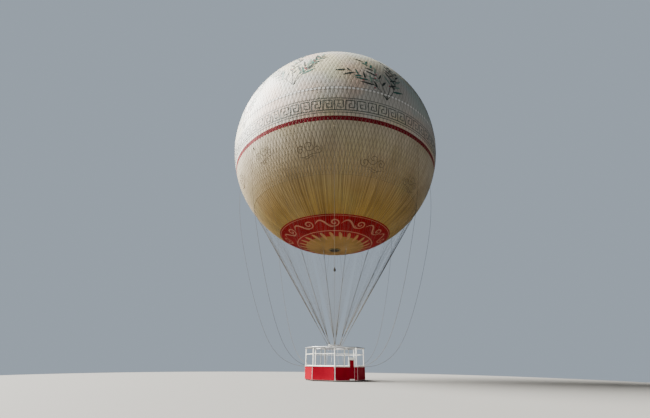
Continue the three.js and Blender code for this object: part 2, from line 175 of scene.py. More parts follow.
def taper(start, end, startRadius, endRadius):
    bpy.ops.mesh.primitive_cone_add(
        vertices=16, radius1=startRadius, radius2=endRadius, **between(start, end))
    return active()


def upright(reach, bottom, top, radius, sides=24, azimuth=0):        # a standing bar of the gondola
    return bar(onDeck(azimuth, reach, bottom), onDeck(azimuth, reach, top), radius, sides)


def block(size, centre, azimuth=0.0, edge=0.0):
    bpy.ops.mesh.primitive_cube_add(size=1, location=centre, rotation=(0, 0, rad(azimuth)))
    piece = active()
    piece.scale = size
    bakePlace(piece)
    return softenEdges(piece, edge) if edge else piece


def loop(centre, axis, radius, thickness, steps=24):
    bpy.ops.mesh.primitive_torus_add(
        major_radius=radius, minor_radius=thickness, major_segments=steps, minor_segments=8,
        location=centre, rotation=axis.to_track_quat("Z", "Y").to_euler())
    return active()


def boltHead(place, axis=upward, radius=0.012, height=0.01):        # six sides on a round washer
    place = Vector(place)
    return joinUp([bar(place, place + axis * height * 0.3, radius * 1.5),
                   bar(place, place + axis * height, radius, 6)])


def boltCircle(reach, height, count, axis=upward, radius=0.014):
    return repeatAround(boltHead((0, -reach, height), axis, radius, radius * 0.8), count)


def ringSide(inner, outer, bottom, top, bay=0, ends=(None, None), trim=(0, 0), edge=0.0, gap=seatGap):
    # One mitred side of an eight-sided ring, given by the reach of its corners
    bpy.ops.mesh.primitive_cube_add(size=1, location=(0, 0, 0))
    piece = active()
    for vertex in piece.data.vertices:
        reach = (outer if vertex.co.y < 0 else inner) * sideShare
        half = reach * math.tan(rad(sideTurn)) - gap
        side = 0 if vertex.co.x < 0 else 1
        along = ends[side] if ends[side] is not None else (half - trim[side]) * (-1, 1)[side]
        vertex.co = (along, -reach, groundHeight + (top if vertex.co.z > 0 else bottom))
    piece.rotation_euler.z = rad((bay + 0.5) * cornerTurn)
    bakePlace(piece)
    return softenEdges(piece, edge) if edge else piece


def rounded(profile, edge=0.0, steps=96, base=0.0):        # [radius, height] points spun about the axis
    bpy.ops.mesh.primitive_circle_add(vertices=len(profile), fill_type="NOTHING", location=(0, 0, 0))
    piece = active()
    for vertex, (reach, height) in zip(piece.data.vertices, profile):
        vertex.co = (reach, 0, base + height)
    bpy.ops.object.mode_set(mode="EDIT")
    bpy.ops.mesh.select_all(action="SELECT")
    bpy.ops.mesh.spin(steps=steps, angle=2 * math.pi, center=(0, 0, 0), axis=(0, 0, 1))
    bpy.ops.object.mode_set(mode="OBJECT")
    closeSeams(piece, 0.0001, outward=True)
    return softenEdges(piece, edge, angle=40) if edge else piece


def ropeCurve(name, routes, radius, resolution):        # one round rope along each route of points
    curve = bpy.data.curves.new(name, "CURVE")
    setAll(curve, dimensions="3D", bevel_depth=radius, bevel_resolution=resolution, use_fill_caps=True)
    for route in routes:
        spline = curve.splines.new("POLY")
        spline.points.add(len(route) - 1)
        for point, place in zip(spline.points, route):
            point.co = (*place, 1)
    rope = bpy.data.objects.new(name, curve)
    bpy.context.scene.collection.objects.link(rope)
    return rope


def tubes(routes, radius, sides=8):
    pick(ropeCurve("route", routes, radius, (sides - 4) // 2))
    bpy.ops.object.convert(target="MESH")
    return active()


def roundCorners(points, radius, steps=6):        # a bent tube's route, with an arc at each corner
    route = [points[0]]
    for before, corner, after in zip(points, points[1:], points[2:]):
        back = (before - corner).normalized()
        ahead = (after - corner).normalized()
        cut = radius / math.tan(back.angle(ahead) / 2)
        first, last = corner + back * cut, corner + ahead * cut
        for i in range(steps + 1):
            t = i / steps
            route.append(first * (1 - t) ** 2 + corner * 2 * t * (1 - t) + last * t * t)
    return [*route, points[-1]]


def smoothRoute(points, steps):        # a curve through the points, with even steps between them
    ends = [2 * points[0] - points[1], *points, 2 * points[-1] - points[-2]]
    route = []
    for a, b, c, d in zip(ends, ends[1:], ends[2:], ends[3:]):
        for i in range(steps):
            t = i / steps
            route.append(0.5 * (2 * b + (c - a) * t + (2 * a - 5 * b + 4 * c - d) * t * t
                                + (3 * b - 3 * c + d - a) * t ** 3))
    return [*route, points[-1]]


# Camera, ground and light

cameraView = dict(place=(0.0, -31.128, -21.29), up=25.5, left=1.864, roll=0.7)
cameraLens = dict(lens=18.0, sensor_width=36.0, clip_end=500)
studio = dict(
    groundSize=30.0, groundColor=(0.165, 0.165, 0.158), groundRoughness=0.9, skyColor=(0.60, 0.62, 0.67),
    skyPower=0.222, backdropColor=(0.34, 0.40, 0.47), sunTurn=-94.0, sunHeight=40.5, sunDistance=60.0,
    fillPlace=(16.0, -40.0, -19.0), fillAim=1.2)
sunLight = dict(energy=28.0, angle=rad(42.0), color=(1.0, 0.965, 0.90))
fillLight = dict(energy=26000.0, spot_size=rad(12.0), spot_blend=0.6, shadow_soft_size=1.5)


def addCamera():
    turns = ((cameraView["left"], "Z"), (90 + cameraView["up"], "X"), (cameraView["roll"], "Z"))
    aim = Matrix.Identity(3)
    for angle, axis in turns:
        aim = aim @ Matrix.Rotation(rad(angle), 3, axis)
    bpy.ops.object.camera_add(location=cameraView["place"], rotation=aim.to_euler())
    setAll(active().data, **cameraLens)
    bpy.context.scene.camera = active()


def addGround():
    bpy.ops.mesh.primitive_circle_add(
        vertices=96, radius=studio["groundSize"], fill_type="NGON", location=(0, 0, groundHeight))
    ground = active()
    ground.name = "ground"
    material = bpy.data.materials.new("groundPaint")
    material.use_nodes = True
    shader = material.node_tree.nodes["Principled BSDF"]
    shader.inputs["Base Color"].default_value = (*studio["groundColor"], 1)
    shader.inputs["Roughness"].default_value = studio["groundRoughness"]
    ground.data.materials.append(material)


def addLamp(kind, place, aim, settings):        # aim points from what is lit back to the lamp
    bpy.ops.object.light_add(type=kind, location=place, rotation=aim.to_track_quat("Z", "Y").to_euler())
    setAll(active().data, **settings)


def addLights():
    height = rad(studio["sunHeight"])
    sunFrom = aroundAxis(studio["sunTurn"], math.cos(height), math.sin(height))
    fillFrom = Vector(studio["fillPlace"])        # a soft spot that lifts the shaded side of the gondola
    addLamp("SUN", sunFrom * studio["sunDistance"], sunFrom, sunLight)
    addLamp("SPOT", fillFrom, fillFrom - onAxis(studio["fillAim"]), fillLight)


def addSky():        # the sky lights the object, and the camera sees a plain backdrop
    world = bpy.data.worlds.new("studioSky")
    world.use_nodes = True
    tree = world.node_tree
    sky = tree.nodes["Background"]
    backdrop = tree.nodes.new("ShaderNodeBackground")
    chooser = tree.nodes.new("ShaderNodeMixShader")
    sky.inputs["Color"].default_value = (*studio["skyColor"], 1)
    sky.inputs["Strength"].default_value = studio["skyPower"]
    backdrop.inputs["Color"].default_value = (*studio["backdropColor"], 1)
    tree.links.new(tree.nodes.new("ShaderNodeLightPath").outputs["Is Camera Ray"], chooser.inputs[0])
    tree.links.new(sky.outputs[0], chooser.inputs[1])
    tree.links.new(backdrop.outputs[0], chooser.inputs[2])
    tree.links.new(chooser.outputs[0], tree.nodes["World Output"].inputs["Surface"])
    bpy.context.scene.world = world


addCamera()
addGround()
addLights()
addSky()
print("camera and studio are set")


# Materials

finishes = {}        # the material and the slot of each finish


def shaded(color, share):
    return tuple(c * share for c in color)


class Finish:        # one material, with short ways to add the nodes that these finishes share
    def __init__(self, name, slot, color, roughness, metallic=0.0):
        material = bpy.data.materials.new(name)
        material.use_nodes = True
        finishes[name] = (material, slot)
        self.tree = material.node_tree
        self.shader = self.tree.nodes["Principled BSDF"]
        self.color = color
        self.roughness = roughness
        self.set("Base Color", color)
        self.set("Roughness", roughness)
        self.set("Metallic", metallic)
        self.place = self.node("TexCoord", {})["Object"]

    def feed(self, socket, value):
        if isinstance(value, bpy.types.NodeSocket):
            self.tree.links.new(value, socket)
        elif socket.type == "RGBA":
            socket.default_value = (*value, 1)
        else:
            socket.default_value = value

    def set(self, key, value):
        self.feed(self.shader.inputs[key], value)

    def node(self, kind, inputs, **settings):
        node = self.tree.nodes.new("ShaderNode" + kind)
        setAll(node, **settings)
        for key, value in inputs.items():
            self.feed(node.inputs[key], value)
        return node.outputs

    def stretch(self, scale):        # object coordinates, scaled along each axis
        return self.node("Mapping", {"Vector": self.place, "Scale": scale})["Vector"]

    def math(self, operation, a, b=0.0):
        return self.node("Math", {0: a, 1: b}, operation=operation)[0]

    def times(self, a, b):
        return self.math("MULTIPLY", a, b)

    def plus(self, a, b):
        return self.math("ADD", a, b)

    def wave(self, value):        # 0 at every whole number, 1 half way between them
        return self.math("ABSOLUTE", self.math("SINE", self.times(value, math.pi)))

    def noise(self, scale, detail=3.0, vector=None, rough=0.5):
        return self.node("TexNoise", {"Vector": vector or self.place, "Scale": scale, "Detail": detail,
                                      "Roughness": rough})["Fac"]

    def spread(self, value, low, high, toLow=0.0, toHigh=1.0, **settings):
        return self.node("MapRange", {"Value": value, "From Min": low, "From Max": high, "To Min": toLow,
                                      "To Max": toHigh}, **settings)["Result"]

    def mix(self, share, a, b, kind="MIX"):
        return self.node("Mix", {0: share, 6: a, 7: b}, data_type="RGBA", blend_type=kind)[2]

    def worn(self, share, shade):        # a darker or lighter shade of the colour, by a share
        self.set("Base Color", self.mix(share, self.color, shaded(self.color, shade)))

    def uneven(self, value, less, more):        # roughness that follows a noise
        self.set("Roughness", self.spread(value, 0.3, 0.7, self.roughness - less, self.roughness + more))

    def bump(self, *parts):        # parts of (value, depth in metres) that shape the surface
        height = self.times(*parts[0])
        for value, depth in parts[1:]:
            height = self.plus(height, self.times(value, depth))
        bump = self.node("Bump", {"Distance": 1.0, "Strength": 1.0, "Height": height})
        self.set("Normal", bump["Normal"])


perRadian = math.degrees(1)
cellWidth = 1.875        # the diamonds of the net, in degrees of turn and of latitude
cellHeight = 108 / 19
netBottom, netTop = -40.8, 67.2
goreCount = round(360 / cellWidth)
# two of these entries give the width and colour of the painted shade along the net's ropes
clothLook = dict(
    roughness=0.52, weavePitch=0.0035, weaveDepth=0.0004, creaseDepth=0.024, creaseScale=(3.2, 3.2, 0.9),
    seamShade=0.64, seamWidth=0.10, paintedCreaseWidth=0.42, paintedCreaseColor=(0.22, 0.21, 0.20), dustShade=0.88,
    streakHeights=(-7.2, -4.2), streakScale=(2.7, 0.16), streakShade=(0.36, 0.30, 0.21))


# one argument sets the strength of the painted shade along the net's ropes
def clothFinish(name, slot, color, tints=(), lowColorWithShade=None, fadeHeights=(0, 1), netted=True, shine=0.2,
                paintedCreaseShade=0.5, streaks=0.0, sheen=0.0):
    finish = Finish(name, slot, color, clothLook["roughness"])
    x, y, z = finish.node("SeparateXYZ", {0: finish.place})
    across = finish.times(finish.math("ARCTAN2", x, finish.times(y, -1.0)), perRadian / cellWidth)
    shade = color
    if lowColorWithShade:        # the colour fades to a darker low colour between two heights: partly the print's own fade, partly painted shade of the underside
        fade = finish.spread(z, *fadeHeights, interpolation_type="SMOOTHSTEP")
        shade = finish.mix(fade, lowColorWithShade, color)
    for i, (tint, scale, share) in enumerate(tints):        # soft washes of colour
        moved = finish.node("Mapping", {"Vector": finish.place, "Location": (7.3 * i, 3.1 * i, 5.7 * i)})
        wash = finish.noise(scale, 2.0, moved["Vector"])
        shade = finish.mix(finish.spread(wash, 0.50, 0.66, 0.0, share), shade, tint)
    seam = finish.spread(finish.wave(across), 0.0, clothLook["seamWidth"], 0.35, 0.0)
    shade = finish.mix(seam, shade, shaded(color, clothLook["seamShade"]))
    if netted:        # painted shade: the cloth along the slanting ropes is darkened where the creases would be shaded
        length = finish.node("VectorMath", {0: finish.place}, operation="LENGTH")["Value"]
        raised = finish.math("ARCSINE", finish.math("DIVIDE", z, length))
        latitude = finish.times(raised, perRadian)
        up = finish.plus(finish.times(raised, perRadian / cellHeight), 0.5 - netBottom / cellHeight)
        paintedCreaseShare = finish.math("MINIMUM", finish.wave(finish.plus(across, up)),
                           finish.wave(finish.math("SUBTRACT", up, across)))
        covered = finish.times(finish.math("GREATER_THAN", latitude, netBottom),
                               finish.math("LESS_THAN", latitude, netTop))
        paintedCreaseShare = finish.times(finish.spread(paintedCreaseShare, 0.0, clothLook["paintedCreaseWidth"], 1.0, 0.0), covered)
        shade = finish.mix(finish.times(paintedCreaseShare, paintedCreaseShade), shade, clothLook["paintedCreaseColor"], "MULTIPLY")
    if streaks:        # long pale and dark streaks that run down the gores
        across, down = (finish.times(*pair) for pair in zip((across, z), clothLook["streakScale"]))
        flow = finish.node("CombineXYZ", {"X": across, "Y": down})["Vector"]
        streak = finish.spread(finish.noise(1.0, 3.0, flow, 0.6), 0.36, 0.62, streaks, 0.0)
        share = finish.times(streak, finish.spread(z, *clothLook["streakHeights"], 1.0, 0.22))
        shade = finish.mix(share, shade, clothLook["streakShade"], "MULTIPLY")
    dust = finish.noise(0.55, 5.0, finish.stretch((1.0, 1.0, 0.35)))
    share = finish.spread(dust, 0.45, 0.75, 0.0, 0.5)
    finish.set("Base Color", finish.mix(share, shade, shaded(color, clothLook["dustShade"]), "MULTIPLY"))
    finish.uneven(dust, 0.06, 0.08)
    weave = finish.noise(1 / clothLook["weavePitch"], 1.0)
    crease = finish.noise(1.0, 4.0, finish.stretch(clothLook["creaseScale"]), 0.62)
    finish.bump((weave, clothLook["weaveDepth"]), (crease, clothLook["creaseDepth"]))
    finish.set("Specular IOR Level", shine)
    finish.set("Sheen Weight", sheen)


def ropeFinish(name, slot, color, strand=0.012):
    finish = Finish(name, slot, color, 0.85)
    finish.worn(finish.spread(finish.noise(2.5, 4.0), 0.4, 0.7), 0.72)
    finish.bump((finish.noise(1 / strand, 2.0), strand * 0.25))


def paintFinish(name, slot, color, roughness=0.36, shine=0.5):
    finish = Finish(name, slot, color, roughness)
    wear = finish.noise(1.7, 5.0)
    finish.worn(finish.spread(wear, 0.48, 0.74, 0.0, 0.6), 0.74)
    finish.uneven(wear, 0.05, 0.14)
    finish.bump((finish.noise(180.0, 2.0), 0.0002))
    finish.set("Specular IOR Level", shine)


def metalFinish(name, slot, color, roughness, grain=34.0):
    finish = Finish(name, slot, color, roughness, 1.0)
    spangle = finish.node("TexVoronoi", {"Vector": finish.place, "Scale": grain})["Distance"]
    dull = finish.noise(2.3, 4.0)
    finish.worn(finish.times(spangle, finish.spread(dull, 0.3, 0.7, 0.4, 1.0)), 0.62)
    finish.uneven(dull, 0.06, 0.12)
    finish.bump((spangle, 0.0004))


def treadFinish(name, slot, color, roughness=0.34, pitch=0.042, barShape=(0.46, 0.15)):
    # Raised bars, turned one way and the other
    finish = Finish(name, slot, color, roughness, 1.0)
    x, y = finish.node("SeparateXYZ", {0: finish.place})[:2]
    scaled = [finish.times(axis, math.sqrt(0.5) / pitch) for axis in (x, y)]
    cells = [finish.plus(*scaled), finish.math("SUBTRACT", *scaled)]
    parts = [finish.math("SUBTRACT", finish.math("FRACT", cell), 0.5) for cell in cells]
    whole = finish.plus(*(finish.math("FLOOR", cell) for cell in cells))
    odd = finish.math("GREATER_THAN", finish.wave(finish.times(whole, 0.5)), 0.5)
    bars = []
    for share, places in ((odd, parts), (finish.math("SUBTRACT", 1.0, odd), parts[::-1])):
        squares = [finish.math("POWER", finish.math("DIVIDE", *pair), 2.0)
                   for pair in zip(places, barShape)]
        bars.append(finish.times(finish.spread(finish.plus(*squares), 0.5, 1.0, 1.0, 0.0), share))
    raised = finish.plus(*bars)
    # the flat between the raised bars is painted darker: painted shade in the recesses
    finish.set("Base Color", finish.mix(raised, shaded(color, 0.72), color))
    finish.uneven(finish.noise(3.0, 4.0), 0.04, 0.16)
    finish.bump((raised, 0.0012))


def printFinish(name, slot, color):        # ink on the cloth, a little uneven
    finish = Finish(name, slot, color, 0.56)
    finish.worn(finish.spread(finish.noise(1.6, 4.0), 0.40, 0.70, 0.0, 0.55), 1.5)
    finish.bump((finish.noise(1 / clothLook["weavePitch"], 1.0), clothLook["weaveDepth"]))


clothFinish(
    "creamCloth", "cream_cloth", (0.63, 0.616, 0.559), shine=0.5, paintedCreaseShade=0.42, sheen=0.06,
    tints=(((0.40, 0.62, 0.58), 0.16, 0.55), ((0.76, 0.50, 0.36), 0.20, 0.7),
           ((0.66, 0.60, 0.32), 0.24, 0.6)))
# the golden cloth's low colour is darkened in part as painted shade of the underside
clothFinish(
    "goldenCloth", "cream_cloth", (0.58, 0.51, 0.385), lowColorWithShade=(0.35, 0.215, 0.038),
    fadeHeights=(-9.6, -3.0), paintedCreaseShade=0.80, streaks=0.75, sheen=0.06,
    tints=(((0.44, 0.33, 0.16), 0.22, 0.3), ((0.42, 0.40, 0.16), 0.3, 0.2)))
clothFinish("bandCloth", "red_cloth", (0.205, 0.013, 0.023), shine=0.03, paintedCreaseShade=0.1)
clothFinish("discCloth", "red_cloth", (0.215, 0.0034, 0.0060), netted=False, shine=0.03)
clothFinish("centreCloth", "gold_cloth", (0.215, 0.108, 0.006), netted=False,
            tints=(((0.26, 0.145, 0.012), 0.9, 0.5),))
clothFinish("darkCloth", "dark_cloth", (0.024, 0.020, 0.014), netted=False, shine=0.05)
clothFinish("weightCloth", "dark_rope", (0.007, 0.007, 0.008), netted=False, shine=0.03)
# a tape much darker than the cloth: painted shade around the light tabs
clothFinish("shadedTapeCloth", "cream_cloth", (0.26, 0.25, 0.22), netted=False)
clothFinish("tabCloth", "cream_cloth", (0.97, 0.96, 0.92), netted=False)
ropeFinish("paleRope", "pale_rope", (0.11, 0.09, 0.055))
ropeFinish("legRope", "pale_rope", (0.135, 0.123, 0.096))
ropeFinish("netRope", "pale_rope", (0.34, 0.31, 0.24), 0.008)
ropeFinish("hemRope", "pale_rope", (0.18, 0.145, 0.08), 0.008)
ropeFinish("darkRope", "dark_rope", (0.020, 0.019, 0.018), 0.006)
ropeFinish("blackRubber", "black_rubber", (0.022, 0.022, 0.022), 0.02)
paintFinish("whitePaint", "white_paint", (0.74, 0.75, 0.70))
# a darker copy of the white paint: painted shade on the inner frame
paintFinish("shadedWhitePaint", "white_paint", (0.30, 0.31, 0.27), 0.5)
paintFinish("redPaint", "red_paint", (0.185, 0.0005, 0.009), 0.55, 0.03)
metalFinish("galvanised", "galvanised_steel", (0.50, 0.52, 0.53), 0.42)
metalFinish("aluminium", "bare_aluminium", (0.66, 0.67, 0.68), 0.34, 90.0)
metalFinish("dullAluminium", "bare_aluminium", (0.22, 0.17, 0.08), 0.70, 90.0)
treadFinish("treadPlate", "bare_aluminium", (0.60, 0.61, 0.62))
printFinish("friezeInk", "dark_cloth", (0.055, 0.075, 0.065))
printFinish("leafInk", "dark_cloth", (0.020, 0.035, 0.028))
printFinish("tealInk", "dark_cloth", (0.020, 0.12, 0.095))
printFinish("paleInk", "dark_cloth", (0.20, 0.30, 0.24))
printFinish("berryInk", "red_cloth", (0.36, 0.02, 0.05))
printFinish("cloudInk", "dark_cloth", (0.12, 0.085, 0.045))
printFinish("salmonInk", "red_cloth", (0.29, 0.10, 0.045))
printFinish("goldInk", "gold_cloth", (0.24, 0.10, 0.012))
print("finishes are mixed")


# Envelope: the cloth puffs out between the ropes of the net, and hangs in gores below its hem

envelope = dict(
    radius=11.0, puffOut=0.006, puffIn=0.009, valley=0.12, goreDepth=0.034, crownRise=0.03, crownDrop=0.02,
    hemBlend=(-42.2, -40.2), topBlend=(64.5, 68.0), crownBlend=(72.0, 86.0), portBlend=(-78.0, -58.0),
    crownHole=0.6, portHole=0.5)


def easedStep(value, low, high):
    share = np.clip((value - low) / (high - low), 0, 1)
    return share * share * (3 - 2 * share)


def skinRadius(turn, latitude):        # turn and latitude in degrees
    valley, puffIn, goreDepth = envelope["valley"], envelope["puffIn"], envelope["goreDepth"]
    across = turn / cellWidth - 0.5
    up = (latitude - netBottom) / cellHeight
    sides = [np.sqrt(np.sin(np.pi * slant) ** 2 + valley ** 2) - valley
             for slant in (across + up, across - up)]
    diamond = (sides[0] * sides[1] * 1.25) ** 0.8
    gore = np.abs(np.sin(np.pi * across)) ** 0.7
    crown = np.abs(np.sin(np.pi * turn / (2 * cellWidth))) ** 0.7
    overHem = easedStep(latitude, *envelope["hemBlend"])
    overTop = easedStep(latitude, *envelope["topBlend"])
    inNet = overHem * (1 - overTop)
    aboveNet = overTop * (1 - 0.8 * easedStep(latitude, *envelope["crownBlend"]))
    belowNet = (1 - overHem) * easedStep(latitude, *envelope["portBlend"])
    return envelope["radius"] + (inNet * ((envelope["puffOut"] + puffIn) * diamond - puffIn)
                                 + aboveNet * (envelope["crownRise"] * crown - envelope["crownDrop"])
                                 + belowNet * (goreDepth * gore - goreDepth * 0.6))


def onSkin(turn, latitude, lift=0.0):        # points on the cloth, lifted off it by some metres
    reach = skinRadius(turn, latitude) + lift
    turned, raised = np.radians(turn), np.radians(latitude)
    return np.stack([reach * np.cos(raised) * np.sin(turned), -reach * np.cos(raised) * np.cos(turned),
                     reach * np.sin(raised)], axis=-1)


def flatGrid(across, up):
    bpy.ops.mesh.primitive_grid_add(x_subdivisions=across, y_subdivisions=up, size=1, location=(0, 0, 0))
    return active()


def movePoints(piece, places):
    piece.data.vertices.foreach_set("co", np.asarray(places, float).ravel())
    piece.data.update()


def skinZone(top, bottom, around, rows):        # a flat grid rolled into a zone of the ball
    piece = flatGrid(around, rows)
    flat = np.zeros(len(piece.data.vertices) * 3)
    piece.data.vertices.foreach_get("co", flat)
    along, up = flat.reshape(-1, 3).T[:2] + 0.5
    movePoints(piece, onSkin(along * 360 - 180, bottom + up * (top - bottom)))
    return closeSeams(piece)


highest, lowest = (math.degrees(math.acos(envelope[hole] / envelope["radius"]))
                   for hole in ("crownHole", "portHole"))
for clothName, top, bottom, around, rows, clothKind, node in (
        ("shoulder_cloth", 31.2, -16.1, 1152, 70, "creamCloth", "envelope_upper"),
        ("upper_cloth", netTop, 31.2, 1152, 52, "creamCloth", "envelope_upper"),
        ("crown_cloth", highest, netTop, 576, 20, "creamCloth", "envelope_upper"),
        ("band_cloth", -16.1, -18.1, 1152, 4, "bandCloth", "envelope_red_band"),
        ("lower_cloth", -18.1, -59.8, 1152, 62, "goldenCloth", "envelope_lower"),
        ("disc_cloth", -59.8, -74.8, 576, 14, "discCloth", "envelope_red_disc"),
        ("centre_cloth", -74.8, -lowest, 576, 12, "centreCloth", "envelope_gold_centre")):
    finishPiece(skinZone(top, bottom, around, rows), clothName, clothKind, [node], smooth=180)
print("envelope is rolled")


# Prints: thin ink shapes laid on the cloth, each grown from a flat grid along its own middle line

metre = math.degrees(1 / envelope["radius"])        # one metre on the cloth, in degrees of latitude
printLift = 0.014


def layStrips(paths, widths, columns=1, lift=printLift):
    # paths holds [turn, latitude] points for each strip, widths a width in metres for each point
    paths = np.asarray(paths, float)
    widths = np.broadcast_to(np.asarray(widths, float), paths.shape[:2])
    count, points = paths.shape[:2]
    piece = flatGrid(columns, points - 1)
    array = piece.modifiers.new("strips", "ARRAY")
    array.count = count
    applyAll(piece)
    turn, latitude = paths[..., 0], paths[..., 1]
    shrink = np.cos(np.radians(latitude))
    east = np.gradient(turn, axis=1) * shrink
    north = np.gradient(latitude, axis=1)
    share = widths * metre / (np.hypot(east, north) + 1e-9)
    side = np.linspace(-0.5, 0.5, columns + 1)
    turns = turn[..., None] + (north / shrink * share)[..., None] * side
    latitudes = latitude[..., None] - (east * share)[..., None] * side
    movePoints(piece, onSkin(turns, latitudes, lift).reshape(-1, 3))
    return piece


def fromMetres(turn, latitude, across, up):        # a place some metres to the right of and above another
    return np.stack([turn + np.asarray(across) * metre / math.cos(rad(latitude)),
                     latitude + np.asarray(up) * metre], axis=-1)


def ringLine(latitude, width, points=577, columns=1):
    path = np.stack([np.linspace(-180, 180, points), np.full(points, latitude)], axis=-1)
    return layStrips([path], width, columns)


def evenPath(corners, step):        # points at even steps along straight lines between corners
    reach = np.concatenate([[0], np.cumsum(np.hypot(*np.diff(corners, axis=0).T))])
    places = np.linspace(0, reach[-1], max(2, round(reach[-1] / step) + 1))
    return [np.interp(places, reach, axis) for axis in corners.T]


def scroll(t, size, core, start, sweep):        # a curl that winds into its middle, in metres
    reach = size * (core + (1 - core) * t)
    turned = rad(start) + rad(sweep) * (1 - t)
    return reach * np.cos(turned), reach * np.sin(turned)


# Waist: a seam line that is also painted shadow just above the tabs, a tape painted dark as shade around
# the light tab over every gore, and a fretwork frieze between two lines

waist = dict(
    seam=-1.7, tape=-2.5, tapeWidth=0.05, tabLength=0.20, tabWidth=0.235, tabLift=0.028, friezeTop=-7.8,
    friezeBottom=-14.6, lineWidth=0.050, fretWidth=0.070, fretCell=5.0, footStep=0.09, keyStep=0.085,
    foot=((0, 0.16), (1.0, 0.16)),
    key=((0, 0.16), (0, 0.84), (0.78, 0.84), (0.78, 0.34), (0.30, 0.34), (0.30, 0.60), (0.54, 0.60)))


def tabs():
    turns = (np.arange(goreCount) + 0.5) * cellWidth
    latitudes = waist["tape"] + metre * waist["tabLength"] * np.linspace(-0.3, 0.7, 4)
    paths = np.stack(np.broadcast_arrays(turns[:, None], latitudes), axis=-1)
    return layStrips(paths, waist["tabWidth"], lift=waist["tabLift"])


def fretwork():        # one key of the pattern, from cell to cell without a break
    cell = (waist["fretCell"], waist["friezeTop"] - waist["friezeBottom"])
    turns = np.arange(360 / waist["fretCell"])[:, None] * waist["fretCell"]
    strips = []
    for shape in ("key", "foot"):
        turn, latitude = evenPath(np.array(waist[shape]) * cell, waist[shape + "Step"] * metre)
        paths = np.stack(np.broadcast_arrays(turn + turns, latitude + waist["friezeBottom"]), axis=-1)
        strips.append(layStrips(paths, waist["fretWidth"]))
    return strips


# Sprays: leafy branches on the upper half, at even places round the balloon

sprays = dict(
    roots=((-52, -6), (-19, 3), (24, -5), (58, 6), (96, -4), (134, 5), (171, -3), (209, 6), (247, -5),
           (284, 4)),
    seed=11, branches=4, leaves=10, berries=2, branchLength=5.4, leafLength=1.30, leafWidth=0.21,
    stemWidth=0.06, berrySize=0.16)


def sprayShapes():
    random = np.random.default_rng(sprays["seed"])
    t, along, berryUp = (np.linspace(0, 1, count) for count in (41, 17, 7))
    leafWidths = sprays["leafWidth"] * (np.sin(np.pi * along ** 0.75) ** 0.9 + 0.03)
    berryWidths = sprays["berrySize"] * (np.sqrt(np.clip(1 - (2 * berryUp - 1) ** 2, 0, 1)) + 0.02)
    stems, dark, teal, pale, berries = [], [], [], [], []
    for index, (turn, latitude) in enumerate(sprays["roots"]):
        lean = (-1, 1)[index % 2]
        for branch in range(sprays["branches"]):
            share = branch / (sprays["branches"] - 1)
            heading = rad(90 + lean * (34 - 62 * share) + random.uniform(-6, 6))
            length = sprays["branchLength"] * (0.72 + 0.38 * random.random())
            bend = random.uniform(-0.22, 0.22) - 0.2 * lean
            across = length * (t * math.cos(heading) - bend * t * t * math.sin(heading))
            up = length * (t * math.sin(heading) + bend * t * t * math.cos(heading))
            stems.append((fromMetres(turn, latitude, across, up), sprays["stemWidth"] * (1.15 - t)))
            for leaf in range(sprays["leaves"]):
                start = 0.30 + 0.68 * leaf / (sprays["leaves"] - 1)
                spot = int(start * 40)
                ahead = math.atan2(up[spot] - up[spot - 1], across[spot] - across[spot - 1])
                tilt = ahead + (-1, 1)[leaf % 2] * random.uniform(0.45, 0.85)
                size = sprays["leafLength"] * random.uniform(0.6, 1.15) * (1.15 - 0.35 * start)
                droop = random.uniform(-0.25, 0.10)
                leafAcross = across[spot] + size * along * math.cos(tilt)
                leafUp = up[spot] + size * (along * math.sin(tilt) + droop * along ** 2)
                group = dark if random.random() < 0.62 else teal if random.random() < 0.6 else pale
                group.append((fromMetres(turn, latitude, leafAcross, leafUp),
                              leafWidths * random.uniform(0.75, 1.1)))
            for berry in range(sprays["berries"]):
                spot = int(random.uniform(12, 39))
                shiftAcross, shiftUp = random.uniform(-0.35, 0.35, 2)
                path = fromMetres(turn, latitude, across[spot] + shiftAcross + 0 * berryUp,
                                  up[spot] + shiftUp + sprays["berrySize"] * berryUp)
                berries.append((path, berryWidths))
    return [layStrips(*zip(*group), columns)
            for group, columns in ((stems, 1), (dark, 2), (teal, 2), (pale, 2), (berries, 2))]


# Clouds: scroll clouds of the traditional kind on the lower half, each of three curls over two tails

clouds = dict(
    places=((-12, -30), (20, -35), (-38, -26), (50, -37), (83, -28), (118, -35), (152, -27), (188, -34),
            (223, -29), (258, -36), (292, -27)),
    curls=((-0.62, 0.0, 1.0, 1), (0.10, 0.34, 1.25, 1), (0.85, 0.05, 0.85, -1)),
    tails=((-0.46, 1.9), (-0.62, 1.2)), lineWidth=0.045, curl=0.42)


def cloudLines():
    t = np.linspace(0, 1, 49)
    curls, tails = [], []
    for index, (turn, latitude) in enumerate(clouds["places"]):
        lean = (-1, 1)[index % 2]
        for shiftAcross, shiftUp, size, facing in clouds["curls"]:
            across, up = scroll(t, clouds["curl"] * size, 0.14, 150, facing * 520)
            curls.append(fromMetres(turn, latitude, lean * (shiftAcross + across), shiftUp + up))
        for drop, reach in clouds["tails"]:
            across, up = lean * reach * (t - 0.35), drop + 0.10 * np.sin(t * 7)
            tails.append(fromMetres(turn, latitude, across, up))
    return [layStrips(curls, clouds["lineWidth"]),
            layStrips(tails, clouds["lineWidth"] * np.sin(np.pi * t) + 0.006)]


# Disc under the balloon: scroll curls in a ring, two rings and a rosette of petals

disc = dict(curls=12, curlLatitude=-64.8, curl=0.52, outerRing=-60.6, innerRing=-70.3, petals=24,
            petalTop=-71.2, petalBottom=-77.6, petalWidth=0.30, petalSway=5.0)


